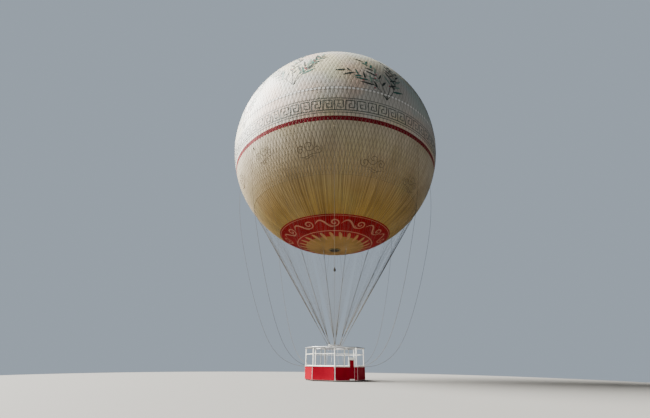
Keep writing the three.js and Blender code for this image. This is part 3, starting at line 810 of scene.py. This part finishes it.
def discShapes():
    t, along = np.linspace(0, 1, 61), np.linspace(0, 1, 15)
    curls, petals = [], []
    shapes = (scroll(t, disc["curl"], 0.12, 200, 560), (0.62 + 1.75 * t, 0.42 * np.sin(t * 5.2) - 0.10))
    for turn in np.arange(disc["curls"]) * 360 / disc["curls"]:
        curls += [fromMetres(turn, disc["curlLatitude"], *shape) for shape in shapes]
    curlWidths = [0.10 * np.sin(np.pi * t) ** 0.6 + 0.03, 0.15 * np.sin(np.pi * t) ** 0.8 + 0.02]
    sway = disc["petalSway"] * np.sin(along * math.pi / 2)
    latitudes = disc["petalTop"] + (disc["petalBottom"] - disc["petalTop"]) * along
    for turn in (np.arange(disc["petals"]) + 0.5) * 360 / disc["petals"]:
        petals.append(np.stack([turn + sway, latitudes], axis=-1))
    return [layStrips(curls, np.tile(curlWidths, (disc["curls"], 1))),
            layStrips(petals, disc["petalWidth"] * np.sin(np.pi * along ** 0.7) ** 0.8 + 0.02, 3),
            ringLine(disc["outerRing"], 0.05, 289), ringLine(disc["innerRing"], 0.09, 289)]


tape = ringLine(waist["tape"], waist["tapeWidth"], columns=2)
# the seam line lies just above the tabs, and is partly painted shadow of the crease there
lines = [ringLine(waist[place], waist["lineWidth"]) for place in ("seam", "friezeTop", "friezeBottom")]
stems, darkLeaves, tealLeaves, paleLeaves, berries = sprayShapes()
curls, petals, outerRing, innerRing = discShapes()
for piece, printName, ink in (
        (tape, "waist_tape", "shadedTapeCloth"),
        (tabs(), "waist_tabs", "tabCloth"),
        (joinUp([*lines, *fretwork()]), "frieze_print", "friezeInk"),
        (joinUp([stems, darkLeaves]), "spray_print_dark", "leafInk"),
        (tealLeaves, "spray_print_teal", "tealInk"),
        (paleLeaves, "spray_print_pale", "paleInk"),
        (berries, "spray_print_red", "berryInk"),
        (joinUp(cloudLines()), "cloud_print", "cloudInk"),
        (joinUp([curls, outerRing, innerRing]), "disc_print", "salmonInk"),
        (petals, "disc_petals", "goldInk")):
    finishPiece(piece, printName, ink, smooth=180)
print("prints are laid")


# Net: two sets of slanting ropes that cross at every corner of a diamond, gathered in pairs at the top

net = dict(radius=0.008, lift=0.004, rows=19, gatherLatitude=70.0, gatherLift=0.014, crownLatitude=85.8)


def slantingRopes(direction):
    rows = np.linspace(0, net["rows"], 2 * net["rows"] + 1)
    route = onSkin(cellWidth * (0.5 + direction * rows), netBottom + cellHeight * rows, net["lift"])
    return repeatAround(tubes([route], net["radius"], 4), goreCount)


def crownRopes():
    routes = [onSkin(0.0, np.linspace(net["gatherLatitude"], net["crownLatitude"], 9), net["lift"])]
    for knot in (-cellWidth / 2, cellWidth / 2):
        routes.append(onSkin(np.array([knot, 0.0]), np.array([netTop, net["gatherLatitude"]]),
                             net["gatherLift"]))
    return repeatAround(tubes(routes, net["radius"], 4), goreCount // 2)


finishPiece(slantingRopes(1), "net_right_hand", "netRope", smooth=60)
finishPiece(slantingRopes(-1), "net_left_hand", "netRope", smooth=60)
finishPiece(crownRopes(), "net_crown_ropes", "netRope", smooth=60)
print("net is tied")


# Mooring lines: the same route of [outward, above the feet] points for each corner

mooring = dict(diameter=0.024, route=[
    (10.350, 18.595), (10.347, 18.250), (10.300, 17.500), (10.190, 16.500), (10.030, 15.400),
    (9.800, 14.150), (9.500, 12.850), (9.140, 11.500), (8.730, 10.100), (8.290, 8.700),
    (7.840, 7.380), (7.380, 6.130), (6.900, 4.960), (6.400, 3.900), (5.860, 2.960),
    (5.250, 2.190), (4.550, 1.620), (3.800, 1.265), (3.150, 1.105), (2.6012, 1.070)])


def addMooringLine(index):
    route = smoothRoute([onDeck(index * cornerTurn, *point) for point in mooring["route"]], 5)
    rope = ropeCurve(f"mooring_rope_{index + 1}", [route], mooring["diameter"] / 2, 2)
    material, slot = finishes["paleRope"]
    rope.data.materials.append(material)
    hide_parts(f"mooring_line_{index + 1}")
    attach(rope, "balloon")
    length = sum((b - a).length for a, b in zip(route, route[1:]))
    return length


for corner in range(cornerCount):
    ropeLength = addMooringLine(corner)
print("mooring lines hang, each", round(ropeLength, 2), "m")


# Rope legs: each gathers 24 knots of the hem in two lines, with three branches and twelve fine feet a line

legs = dict(
    eyeHeight=2.800, lineSpread=0.030, lineRadius=0.012, branchRadius=0.0065, footRadius=0.0035,
    lineTurns=(-11.25, 11.25), branchTurns=(-7.5, 0.0, 7.5), footTurns=(-2.8125, -0.9375, 0.9375, 2.8125),
    hemLatitude=-41.0, hemRadius=0.010, knotRadius=0.018,
    splices=((0.0, 0.0, 0.5, 0.026), (0.55, 0.5, 0.25, 0.026), (0.035, 0.3, 0.3, 0.020)))
legNodes = [f"rope_leg_{corner + 1}" for corner in range(cornerCount)]


def hemPoint(turn):
    return Vector(onSkin(turn, legs["hemLatitude"], legs["hemRadius"]))


def legRopes():
    thin = legs["lineRadius"]
    lines, branches, feet, splices = [], [], [], []
    for lineTurn in legs["lineTurns"]:
        start = onDeck(0, lugReach, legs["eyeHeight"])
        start.x = math.copysign(legs["lineSpread"], lineTurn)
        along = (hemPoint(lineTurn) - start).normalized()
        places = []
        for share, before, after, thick in legs["splices"]:        # where on the line, lengths and radius
            place = start.lerp(hemPoint(lineTurn), share)
            if before:
                splices.append(taper(place - along * before, place, thin, thick))
            splices.append(taper(place, place + along * after, thick, thin))
            places.append(place)
        eye, split, fork = places
        lines.append([eye, split])
        for branchTurn in legs["branchTurns"]:
            branches.append([split, hemPoint(lineTurn + branchTurn)])
            feet += [[fork, hemPoint(lineTurn + branchTurn + footTurn)] for footTurn in legs["footTurns"]]
    return atCorners(tubes(lines, thin, 12), tubes(branches, legs["branchRadius"]),
                     tubes(feet, legs["footRadius"], 4), *splices)


def hemPieces():
    reach, latitude = envelope["radius"] + legs["hemRadius"], rad(legs["hemLatitude"])
    bpy.ops.mesh.primitive_torus_add(
        major_radius=reach * math.cos(latitude), minor_radius=legs["hemRadius"], major_segments=288,
        minor_segments=10, location=(0, 0, reach * math.sin(latitude)))
    hem = active()
    bpy.ops.mesh.primitive_ico_sphere_add(
        subdivisions=2, radius=legs["knotRadius"], location=hemPoint(cellWidth / 2))
    return joinUp([hem, repeatAround(active(), goreCount)])


def legShackles():        # two thimbles on a pin, between the cheeks of a shackle
    eye = onDeck(0, lugReach, legs["eyeHeight"])
    parts = [bar(eye - toRight * 0.064, eye + toRight * 0.064, 0.014),
             boltHead(eye + toRight * 0.060, toRight, 0.018, 0.014),
             block((0.104, 0.050, 0.010), eye - upward * 0.0345, edge=0.003)]
    for side in (-toRight, toRight):
        parts.append(loop(eye + side * legs["lineSpread"] + upward * 0.014, toRight, 0.026, 0.008))
        parts.append(block((0.010, 0.050, 0.085), eye + side * 0.052 - upward * 0.006, edge=0.003))
    return atCorners(*parts)


finishPiece(legRopes(), "leg_ropes", "legRope", legNodes, smooth=60)
finishPiece(hemPieces(), "net_hem_rope", "hemRope", legNodes, smooth=60)
finishPiece(legShackles(), "leg_shackles", "galvanised", legNodes)
print("rope legs are rigged")


# Mooring blocks: a block with webbing that runs up on the cloth, and a steel eye for the line

def mooringBlocks():
    reach, height = mooring["route"][0]
    centre = onDeck(0, reach - 0.050, height + seatGap + 0.065)
    parts = [block((0.120, 0.170, 0.130), centre, edge=0.018)]
    for side in (-1, 1):        # webbing that runs up on the cloth
        low = centre + Vector((side * 0.045, -0.05, 0.05))
        high = Vector(onSkin(side * 0.7, -19.6, 0.012))
        parts.append(tubes([[low, low.lerp(high, 0.5) - toBack * 0.01, high]], 0.014))
    return atCorners(*parts)


def mooringEyes():
    reach, height = mooring["route"][0]
    return atCorners(loop(onDeck(0, reach, height + 0.008), toRight, 0.024, 0.006))


# Crown: clamping flange, valve neck and lid

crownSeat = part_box("crown_flange")[0].z
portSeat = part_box("port_flange")[1].z


def crownPieces():
    flange = rounded([(0.560, 0), (0.820, 0), (0.820, 0.030), (0.560, 0.030)], 0.006, base=crownSeat)
    bolts = [boltCircle(reach, crownSeat + 0.030, 36) for reach in (0.760, 0.620)]
    finishPiece(joinUp([flange, *bolts]), "crown_ring", "aluminium", ["crown_flange"])
    neckTop = 0.150
    neck = rounded([(0.330, 0), (0.559, 0), (0.559, 0.020), (0.366, 0.020), (0.360, 0.026),
                    (0.360, neckTop), (0.330, neckTop)], 0.004, base=crownSeat)
    bridge = [block(size, (0, 0, crownSeat + 0.060), edge=0.004)
              for size in ((0.664, 0.060, 0.020), (0.060, 0.664, 0.020))]
    guide = rounded([(0.0165, 0.040), (0.045, 0.040), (0.045, 0.080), (0.0165, 0.080)],
                    0.003, 32, crownSeat)
    finishPiece(joinUp([neck, *bridge, guide, boltCircle(0.460, crownSeat + 0.020, 24)]), "valve_seat",
                "aluminium", ["valve_neck"])
    seat = crownSeat + neckTop + seatGap
    lid = rounded([(0, 0), (0.400, 0), (0.410, 0.012), (0.408, 0.024), (0.330, 0.040), (0.250, 0.055),
                   (0.060, 0.068), (0, 0.070)], 0.003, base=seat)
    stem = bar((0, 0, crownSeat + 0.010), (0, 0, seat + 0.02), 0.014, 24)
    ribs = repeatAround(block((0.010, 0.330, 0.014), (0, -0.235, seat + 0.052), edge=0.003), 12)
    finishPiece(joinUp([lid, stem, ribs]), "valve_cap", "whitePaint", ["valve_lid"], "valve")


def portPieces():
    lip = -0.045
    flange = rounded([(0.502, -0.060), (0.600, -0.030), (0.600, 0), (0.505, 0), (0.505, lip), (0.460, lip),
                      (0.460, -0.060)], 0.003, base=portSeat)
    bolts = boltCircle(0.562, portSeat - 0.040, 36, -upward, 0.011)
    finishPiece(joinUp([flange, bolts]), "port_ring", "dullAluminium", ["port_flange"])
    cover = rounded([(0, -0.130), (0.034, -0.130), (0.040, -0.124), (0.050, -0.046), (0.060, -0.042),
                     (0.470, lip + seatGap), (0.498, lip + seatGap), (0.498, -0.030), (0, -0.020)],
                    0.002, base=portSeat)
    lacing = repeatAround(boltHead((0, -0.430, portSeat + lip - 0.0015), -upward, 0.010, 0.004), 48)
    finishPiece(joinUp([cover, lacing]), "port_cloth", "darkCloth", ["port_cover"])


def controlLine():
    for half in ("upper", "lower"):
        low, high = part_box(f"control_line_{half}")
        finishPiece(bar((0, 0, low.z), (0, 0, high.z), 0.006, 12), f"control_rope_{half}", "darkRope",
                    [f"control_line_{half}"])
    low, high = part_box("control_line_weight")
    top = high.z - low.z
    bag = rounded([(0, 0), (0.040, 0.015), (0.072, 0.045), (0.095, 0.085), (0.109, 0.130), (0.111, 0.175),
                   (0.095, 0.260), (0.070, 0.335), (0.050, 0.400), (0.026, 0.470), (0.018, top - 0.040),
                   (0, top)], steps=48, base=low.z)
    bands = [loop((0, 0, low.z + height), upward, reach, 0.006, 48)
             for height, reach in ((0.160, 0.110), (0.405, 0.047))]
    finishPiece(joinUp([bag, *bands]), "control_weight", "weightCloth", ["control_line_weight"])


finishPiece(mooringBlocks(), "mooring_blocks", "goldenCloth", ["envelope_lower"])
finishPiece(mooringEyes(), "mooring_eyes", "galvanised")
crownPieces()
portPieces()
controlLine()
print("crown, port and patches are on")


# Load ring, gimbal and tether socket

rig = dict(
    ringReach=0.580, ringHeight=2.730, halfWidth=0.035, halfDepth=0.040, gimbalHeight=2.500, cheekAt=0.115,
    cheekThickness=0.030, cheekWidth=0.100, pinRadius=0.018, pinReach=0.128, plateTop=2.350,
    plateThickness=0.030, socketBottom=1.900, hangerReach=0.980, hangerFoot=0.195)


def loadRing():
    height = rig["ringHeight"]
    low, high = height - rig["halfDepth"], height + rig["halfDepth"]
    near, far = rig["ringReach"] - rig["halfWidth"], rig["ringReach"] + rig["halfWidth"]
    parts = [rounded([(near, low), (far, low), (far, high), (near, high)], 0.010, base=groundHeight),
             atCorners(block((0.080, 0.110, 0.060), onDeck(0, lugReach - 0.015, height), edge=0.008)),
             upright(0, height - 0.060, height + 0.060, 0.130, 48),
             atCorners(boltHead(onDeck(0, 0.105, height + 0.060)))]
    for azimuth in (45, 135):
        parts.append(block((0.070, 2 * rig["ringReach"], 0.060), onAxis(height), azimuth, 0.008))
    top, bottom = height - 0.050, rig["gimbalHeight"] - 0.060
    for side in (-toRight, toRight):
        parts.append(block((rig["cheekThickness"], rig["cheekWidth"], top - bottom),
                           onAxis((top + bottom) / 2) + side * rig["cheekAt"], edge=0.006))
    return softenEdges(joinUp(parts), 0.002, 1, 60)


def hangers():        # rods from the ring to the floor, each with a turnbuckle and a clevis
    reach, height = rig["hangerReach"], rig["hangerFoot"]
    foot = onSide(0, reach, height)
    head = onSide(0, rig["ringReach"], rig["ringHeight"] - rig["halfDepth"] + 0.010)
    along = (head - foot).normalized()
    parts = [bar(foot, head, 0.012), bar(foot + along * 0.55, foot + along * 0.83, 0.014, 8),
             bar(foot + along * 0.60, foot + along * 0.78, 0.0175),
             taper(head - along * 0.10, head, 0.013, 0.018),
             bar(onSide(-0.030, reach, height), onSide(0.030, reach, height), 0.011)]
    for side in (-0.024, 0.024):
        parts.append(block((0.012, 0.060, 0.050), onSide(side, reach, height), sideTurn, 0.004))
    return atCorners(*parts)


def gimbalCross():
    centre = onAxis(rig["gimbalHeight"])
    parts = [block((0.180, 0.180, 0.090), centre, edge=0.012),
             boltHead(centre + Vector((0.055, -0.055, 0.045)), radius=0.007)]
    for axis in (toRight, toBack):
        pin = axis * rig["pinReach"]
        parts.append(bar(centre - pin, centre + pin, rig["pinRadius"], 32))
        for side in (-axis, axis):
            parts.append(bar(centre + side * 0.090, centre + side * 0.0985, 0.030, 32))
    return joinUp(parts)


def tetherHead():
    top, bottom = rig["plateTop"], rig["plateTop"] - rig["plateThickness"]
    foot, cheekTop = rig["socketBottom"], rig["gimbalHeight"] + 0.050
    parts = [block((0.120, 0.260, rig["plateThickness"]), onAxis((top + bottom) / 2), edge=0.006),
             rounded([(0, foot), (0.050, foot), (0.050, foot + 0.060), (0.034, foot + 0.080),
                      (0.062, bottom - 0.060), (0.062, bottom + 0.010), (0, bottom + 0.010)],
                     0.003, 48, groundHeight)]
    for side in (-toBack, toBack):
        parts.append(block((rig["cheekWidth"], rig["cheekThickness"], cheekTop - bottom),
                           onAxis((cheekTop + bottom) / 2) + side * rig["cheekAt"], edge=0.008))
        for across in (-0.045, 0.045):
            parts.append(boltHead(onAxis(bottom) + side * 0.075 + toRight * across, -upward, 0.009))
    return joinUp(parts)


finishPiece(loadRing(), "load_frame", "galvanised", ["load_ring"])
finishPiece(hangers(), "hanger_rods", "galvanised", ["load_ring"])
finishPiece(gimbalCross(), "gimbal_cross", "galvanised", ["gimbal_block"], "gimbal")
finishPiece(tetherHead(), "tether_fitting", "galvanised", ["tether_socket"], "tether_head")
print("load ring and gimbal are set")


# Gondola: feet and floor, posts and rails, skirt, gate, inner frame and top frame

gondola = dict(
    outerCorner=2.500, innerCorner=1.200, frameCorner=2.550, rimCorner=2.450, wellOuter=1.210,
    wellInner=1.100, feetReach=2.380, floorBottom=0.070, floorTop=0.170, deckTop=0.1763, postRadius=0.045,
    innerPostRadius=0.030, handrail=1.090, handrailRadius=0.050, midRail=2.000, midRailRadius=0.020,
    innerRailRadius=0.022, stubHeight=1.070, postTop=2.4797, topRing=2.510, topCorner=2.620,
    skirtBottom=0.090, skirtThickness=0.030, gateLeft=0.260, gateRight=0.783, gatePostRadius=0.032,
    gatePostTop=1.790, gateTop=1.750, gateSheetTop=1.550, gateFrame=0.036, hingeInset=0.053,
    hingeBehind=0.048, hingeHeights=(0.380, 1.250), frontWindow=0.060, kneeRail=0.600, trimRadius=0.010)
frameFoot = gondola["floorTop"] + seatGap
skirtTop = gondola["handrail"] - gondola["handrailRadius"] - seatGap
skirtInside = gondola["frameCorner"] + seatGap / sideShare
skirtOutside = skirtInside + gondola["skirtThickness"] / sideShare
hinge = gondola["gateRight"] - gondola["hingeInset"]


def atGate(along, inward, height):        # along the gate's side from its middle, inward from the posts
    return onSide(along, gondola["outerCorner"] * sideShare - inward, height)


def railAround(reach, height, radius, sides, ends=None):        # a bent rail from corner to corner
    start, end = ends or (onSide(0, reach * sideShare, height),) * 2
    corners = [onDeck(cornerTurn * index, reach, height) for index in range(1, cornerCount + 1)]
    return tubes([roundCorners([start, *corners, end], radius * 2.4)], radius, sides)


def landingPieces():
    reach = gondola["feetReach"]
    tread = [block((0.240, 0.012, 0.010), onDeck(0, reach + offset, 0.0052))
             for offset in (-0.045, 0, 0.045)]
    return atCorners(ringSide(reach - 0.050, reach + 0.050, 0.030, 0.0697, edge=0.006),
                     block((0.240, 0.160, 0.0697), onDeck(0, reach, 0.03485), edge=0.012), *tread)


def floorFrame():
    bottom, top, rim = gondola["floorBottom"], gondola["floorTop"], gondola["rimCorner"]
    parts = [ringSide(rim, gondola["frameCorner"], bottom, top, edge=0.006),
             ringSide(gondola["wellInner"], gondola["wellOuter"], bottom, top, edge=0.006),
             ringSide(gondola["wellOuter"], rim, top - 0.020, top),
             block((0.070, 1.240, 0.080), onDeck(0, 1.780, 0.110), edge=0.005),
             block((0.110, 0.130, top - bottom), onSide(0, rig["hangerReach"], (top + bottom) / 2),
                   sideTurn, 0.008)]
    for along in (-0.42, 0.42):
        parts.append(block((0.050, 1.130, 0.080), onSide(along, 1.690, 0.110), sideTurn, 0.005))
    return atCorners(*parts)


def deckPlates():
    screws = [boltHead(onSide(spread * reach, reach, gondola["deckTop"]), radius=0.006, height=0.003)
              for reach in (1.20, 1.70, 2.20) for spread in (-0.38 / 1.7, 0.38 / 1.7)]
    return atCorners(ringSide(1.245, 2.440, frameFoot, gondola["deckTop"], gap=0.002, edge=0.001), *screws)


def hingePin(height):
    return atGate(hinge, gondola["hingeBehind"], height)


def outerFrame():
    corner, top, stub = gondola["outerCorner"], gondola["postTop"], gondola["stubHeight"]
    post = [upright(corner, frameFoot, top, gondola["postRadius"]), upright(corner, 2.440, top, 0.056),
            block((0.084, 0.150, 0.012), onDeck(0, 2.470, 0.1823), edge=0.003),
            bar(onDeck(0, corner, stub), onDeck(0, 2.588, stub), 0.020),
            loop(onDeck(0, 2.584, stub), toRight, 0.024, 0.008)]
    for height in (1.30, 1.50):
        post.append(upright(corner, height, height + 0.012, 0.047))
    gatePosts = (gondola["gateRight"], gondola["gateLeft"])
    ends = [atGate(along, 0, gondola["handrail"]) for along in gatePosts]
    parts = [atCorners(*post),
             railAround(corner, gondola["handrail"], gondola["handrailRadius"], 20, ends),
             railAround(corner, gondola["midRail"], gondola["midRailRadius"], 12)]
    for along in gatePosts:
        parts.append(bar(atGate(along, 0, frameFoot), atGate(along, 0, gondola["gatePostTop"]),
                         gondola["gatePostRadius"], 24))
    for height in gondola["hingeHeights"]:
        pin = hingePin(height)
        parts.append(bar(atGate(gondola["gateRight"], 0, height), pin, 0.010))
        parts.append(bar(pin - upward * 0.010, pin + upward * 0.080, 0.008))
    return joinUp(parts)


def skirtPanel(bay, ends, trim):        # a sheet with a pressed field and a rolled edge
    piece = ringSide(skirtInside, skirtOutside, gondola["skirtBottom"], skirtTop, bay, ends, trim)
    outward = aroundAxis((bay + 0.5) * cornerTurn, 1)
    bpy.context.tool_settings.mesh_select_mode = (False, False, True)
    for polygon in piece.data.polygons:
        polygon.select = polygon.normal.dot(outward) > 0.99
    bpy.ops.object.mode_set(mode="EDIT")
    bpy.ops.mesh.inset(thickness=0.045, depth=0)
    bpy.ops.mesh.inset(thickness=0.010, depth=-0.006)
    bpy.ops.object.mode_set(mode="OBJECT")
    return softenEdges(piece, 0.004, angle=25)


def skirtPieces():
    window, post, whole = gondola["frontWindow"], gondola["gatePostRadius"], (None, None)
    panels = [(bay, bay, whole, (0, 0)) for bay in range(1, cornerCount - 1)]
    panels.append((cornerCount - 1, cornerCount - 1, whole, (0, window)))
    panels.append(("gate_left", 0, (None, gondola["gateLeft"] + post), (window, 0)))
    panels.append(("gate_right", 0, (gondola["gateRight"] - post, None), (0, 0)))
    for name, bay, ends, trim in panels:
        finishPiece(skirtPanel(bay, ends, trim), f"skirt_sheet_{name}", "redPaint",
                    [f"skirt_panel_{name}"])


def skirtTrims():        # a thin light tube over each corner of the skirt, apart from the front one
    trim = upright(skirtOutside - 0.003, gondola["skirtBottom"] + 0.01, skirtTop - 0.01,
                   gondola["trimRadius"], 12, cornerTurn)
    return repeatAround(trim, cornerCount - 1, cornerTurn)


def gateBlock(width, depth, along, bottom, top, edge, inward=0.0):
    return block((width, depth, top - bottom), atGate(along, inward, (top + bottom) / 2), sideTurn, edge)


def gateLeaf():
    left = gondola["gateLeft"] + gondola["gatePostRadius"] + 0.011
    right = gondola["gateRight"] - gondola["gatePostRadius"] - 0.009
    high, top, frameWidth = gondola["gateSheetTop"], gondola["gateTop"], gondola["gateFrame"]
    middle, width = (left + right) / 2, right - left
    sheet = [gateBlock(width, 0.030, middle, gondola["deckTop"] + 0.009, skirtTop, 0.004),
             gateBlock(width - frameWidth, 0.020, middle, skirtTop, high, 0.003)]
    for height in (1.185, 1.385):
        sheet.append(gateBlock(width - 2 * frameWidth, 0.028, middle, height, height + 0.030, 0.005))
    parts = [gateBlock(frameWidth, 0.030, along, skirtTop, top, 0.005)
             for along in (left + frameWidth / 2, right - frameWidth / 2)]
    parts.append(gateBlock(width, 0.030, middle, high, top, 0.006))
    for height in gondola["hingeHeights"]:
        pin = hingePin(height)
        parts.append(bar(pin + upward * 0.0103, pin + upward * 0.072, 0.017, 24))
        parts.append(gateBlock(0.090, 0.034, hinge - 0.035, height + 0.025, height + 0.065, 0.004, 0.029))
    parts.append(gateBlock(0.090, 0.030, left + 0.060, 0.970, 1.030, 0.006, 0.028))        # the latch
    parts.append(bar(atGate(left + 0.080, 0.028, 1.000), atGate(left + 0.080, 0.063, 1.000), 0.008))
    return joinUp(sheet), joinUp(parts)


def innerFrame():
    corner, top = gondola["innerCorner"], gondola["postTop"]
    posts = atCorners(upright(corner, frameFoot, top, gondola["innerPostRadius"]),
                      upright(corner, frameFoot, frameFoot + 0.010, 0.044),
                      upright(corner, 2.450, top, 0.038))
    rails = [railAround(corner, height, gondola["innerRailRadius"], 12)
             for height in (gondola["handrail"], gondola["kneeRail"])]
    return joinUp([posts, *rails])


def topFrame():
    height, corner = gondola["topRing"], gondola["topCorner"]
    parts = [ringSide(corner - 0.065, corner, height - 0.040, height + 0.040, edge=0.012, gap=0),
             ringSide(1.160, 1.240, height - 0.030, height + 0.030, edge=0.010, gap=0),
             block((0.060, 1.330, 0.060), onDeck(0, 1.885, height), edge=0.010)]
    for reach in (1.27, 2.52):
        parts.append(block((0.110, 0.060, 0.008), onDeck(0, reach, height + 0.034), edge=0.002))
    return atCorners(*parts)


finishPiece(landingPieces(), "landing_feet", "blackRubber", ["landing_ring"])
finishPiece(floorFrame(), "floor_beams", "whitePaint", ["floor_frame"])
finishPiece(deckPlates(), "deck_sheets", "treadPlate", ["deck_plate"])
finishPiece(outerFrame(), "outer_posts", "whitePaint", ["outer_frame"])
skirtPieces()
finishPiece(skirtTrims(), "skirt_trims", "whitePaint")
gateSheet, gateFrame = gateLeaf()
finishPiece(gateSheet, "gate_sheet", "redPaint", ["gate"], "gate_leaf")
finishPiece(gateFrame, "gate_frame", "whitePaint", ["gate"], "gate_leaf")
finishPiece(innerFrame(), "inner_posts", "shadedWhitePaint", ["inner_frame"])
finishPiece(atCorners(ringSide(1.145, 1.165, frameFoot, 1.050, edge=0.004)), "well_sheets", "redPaint",
            ["inner_wall"])
finishPiece(topFrame(), "top_rings", "galvanised", ["top_frame"])
print("gondola is built")
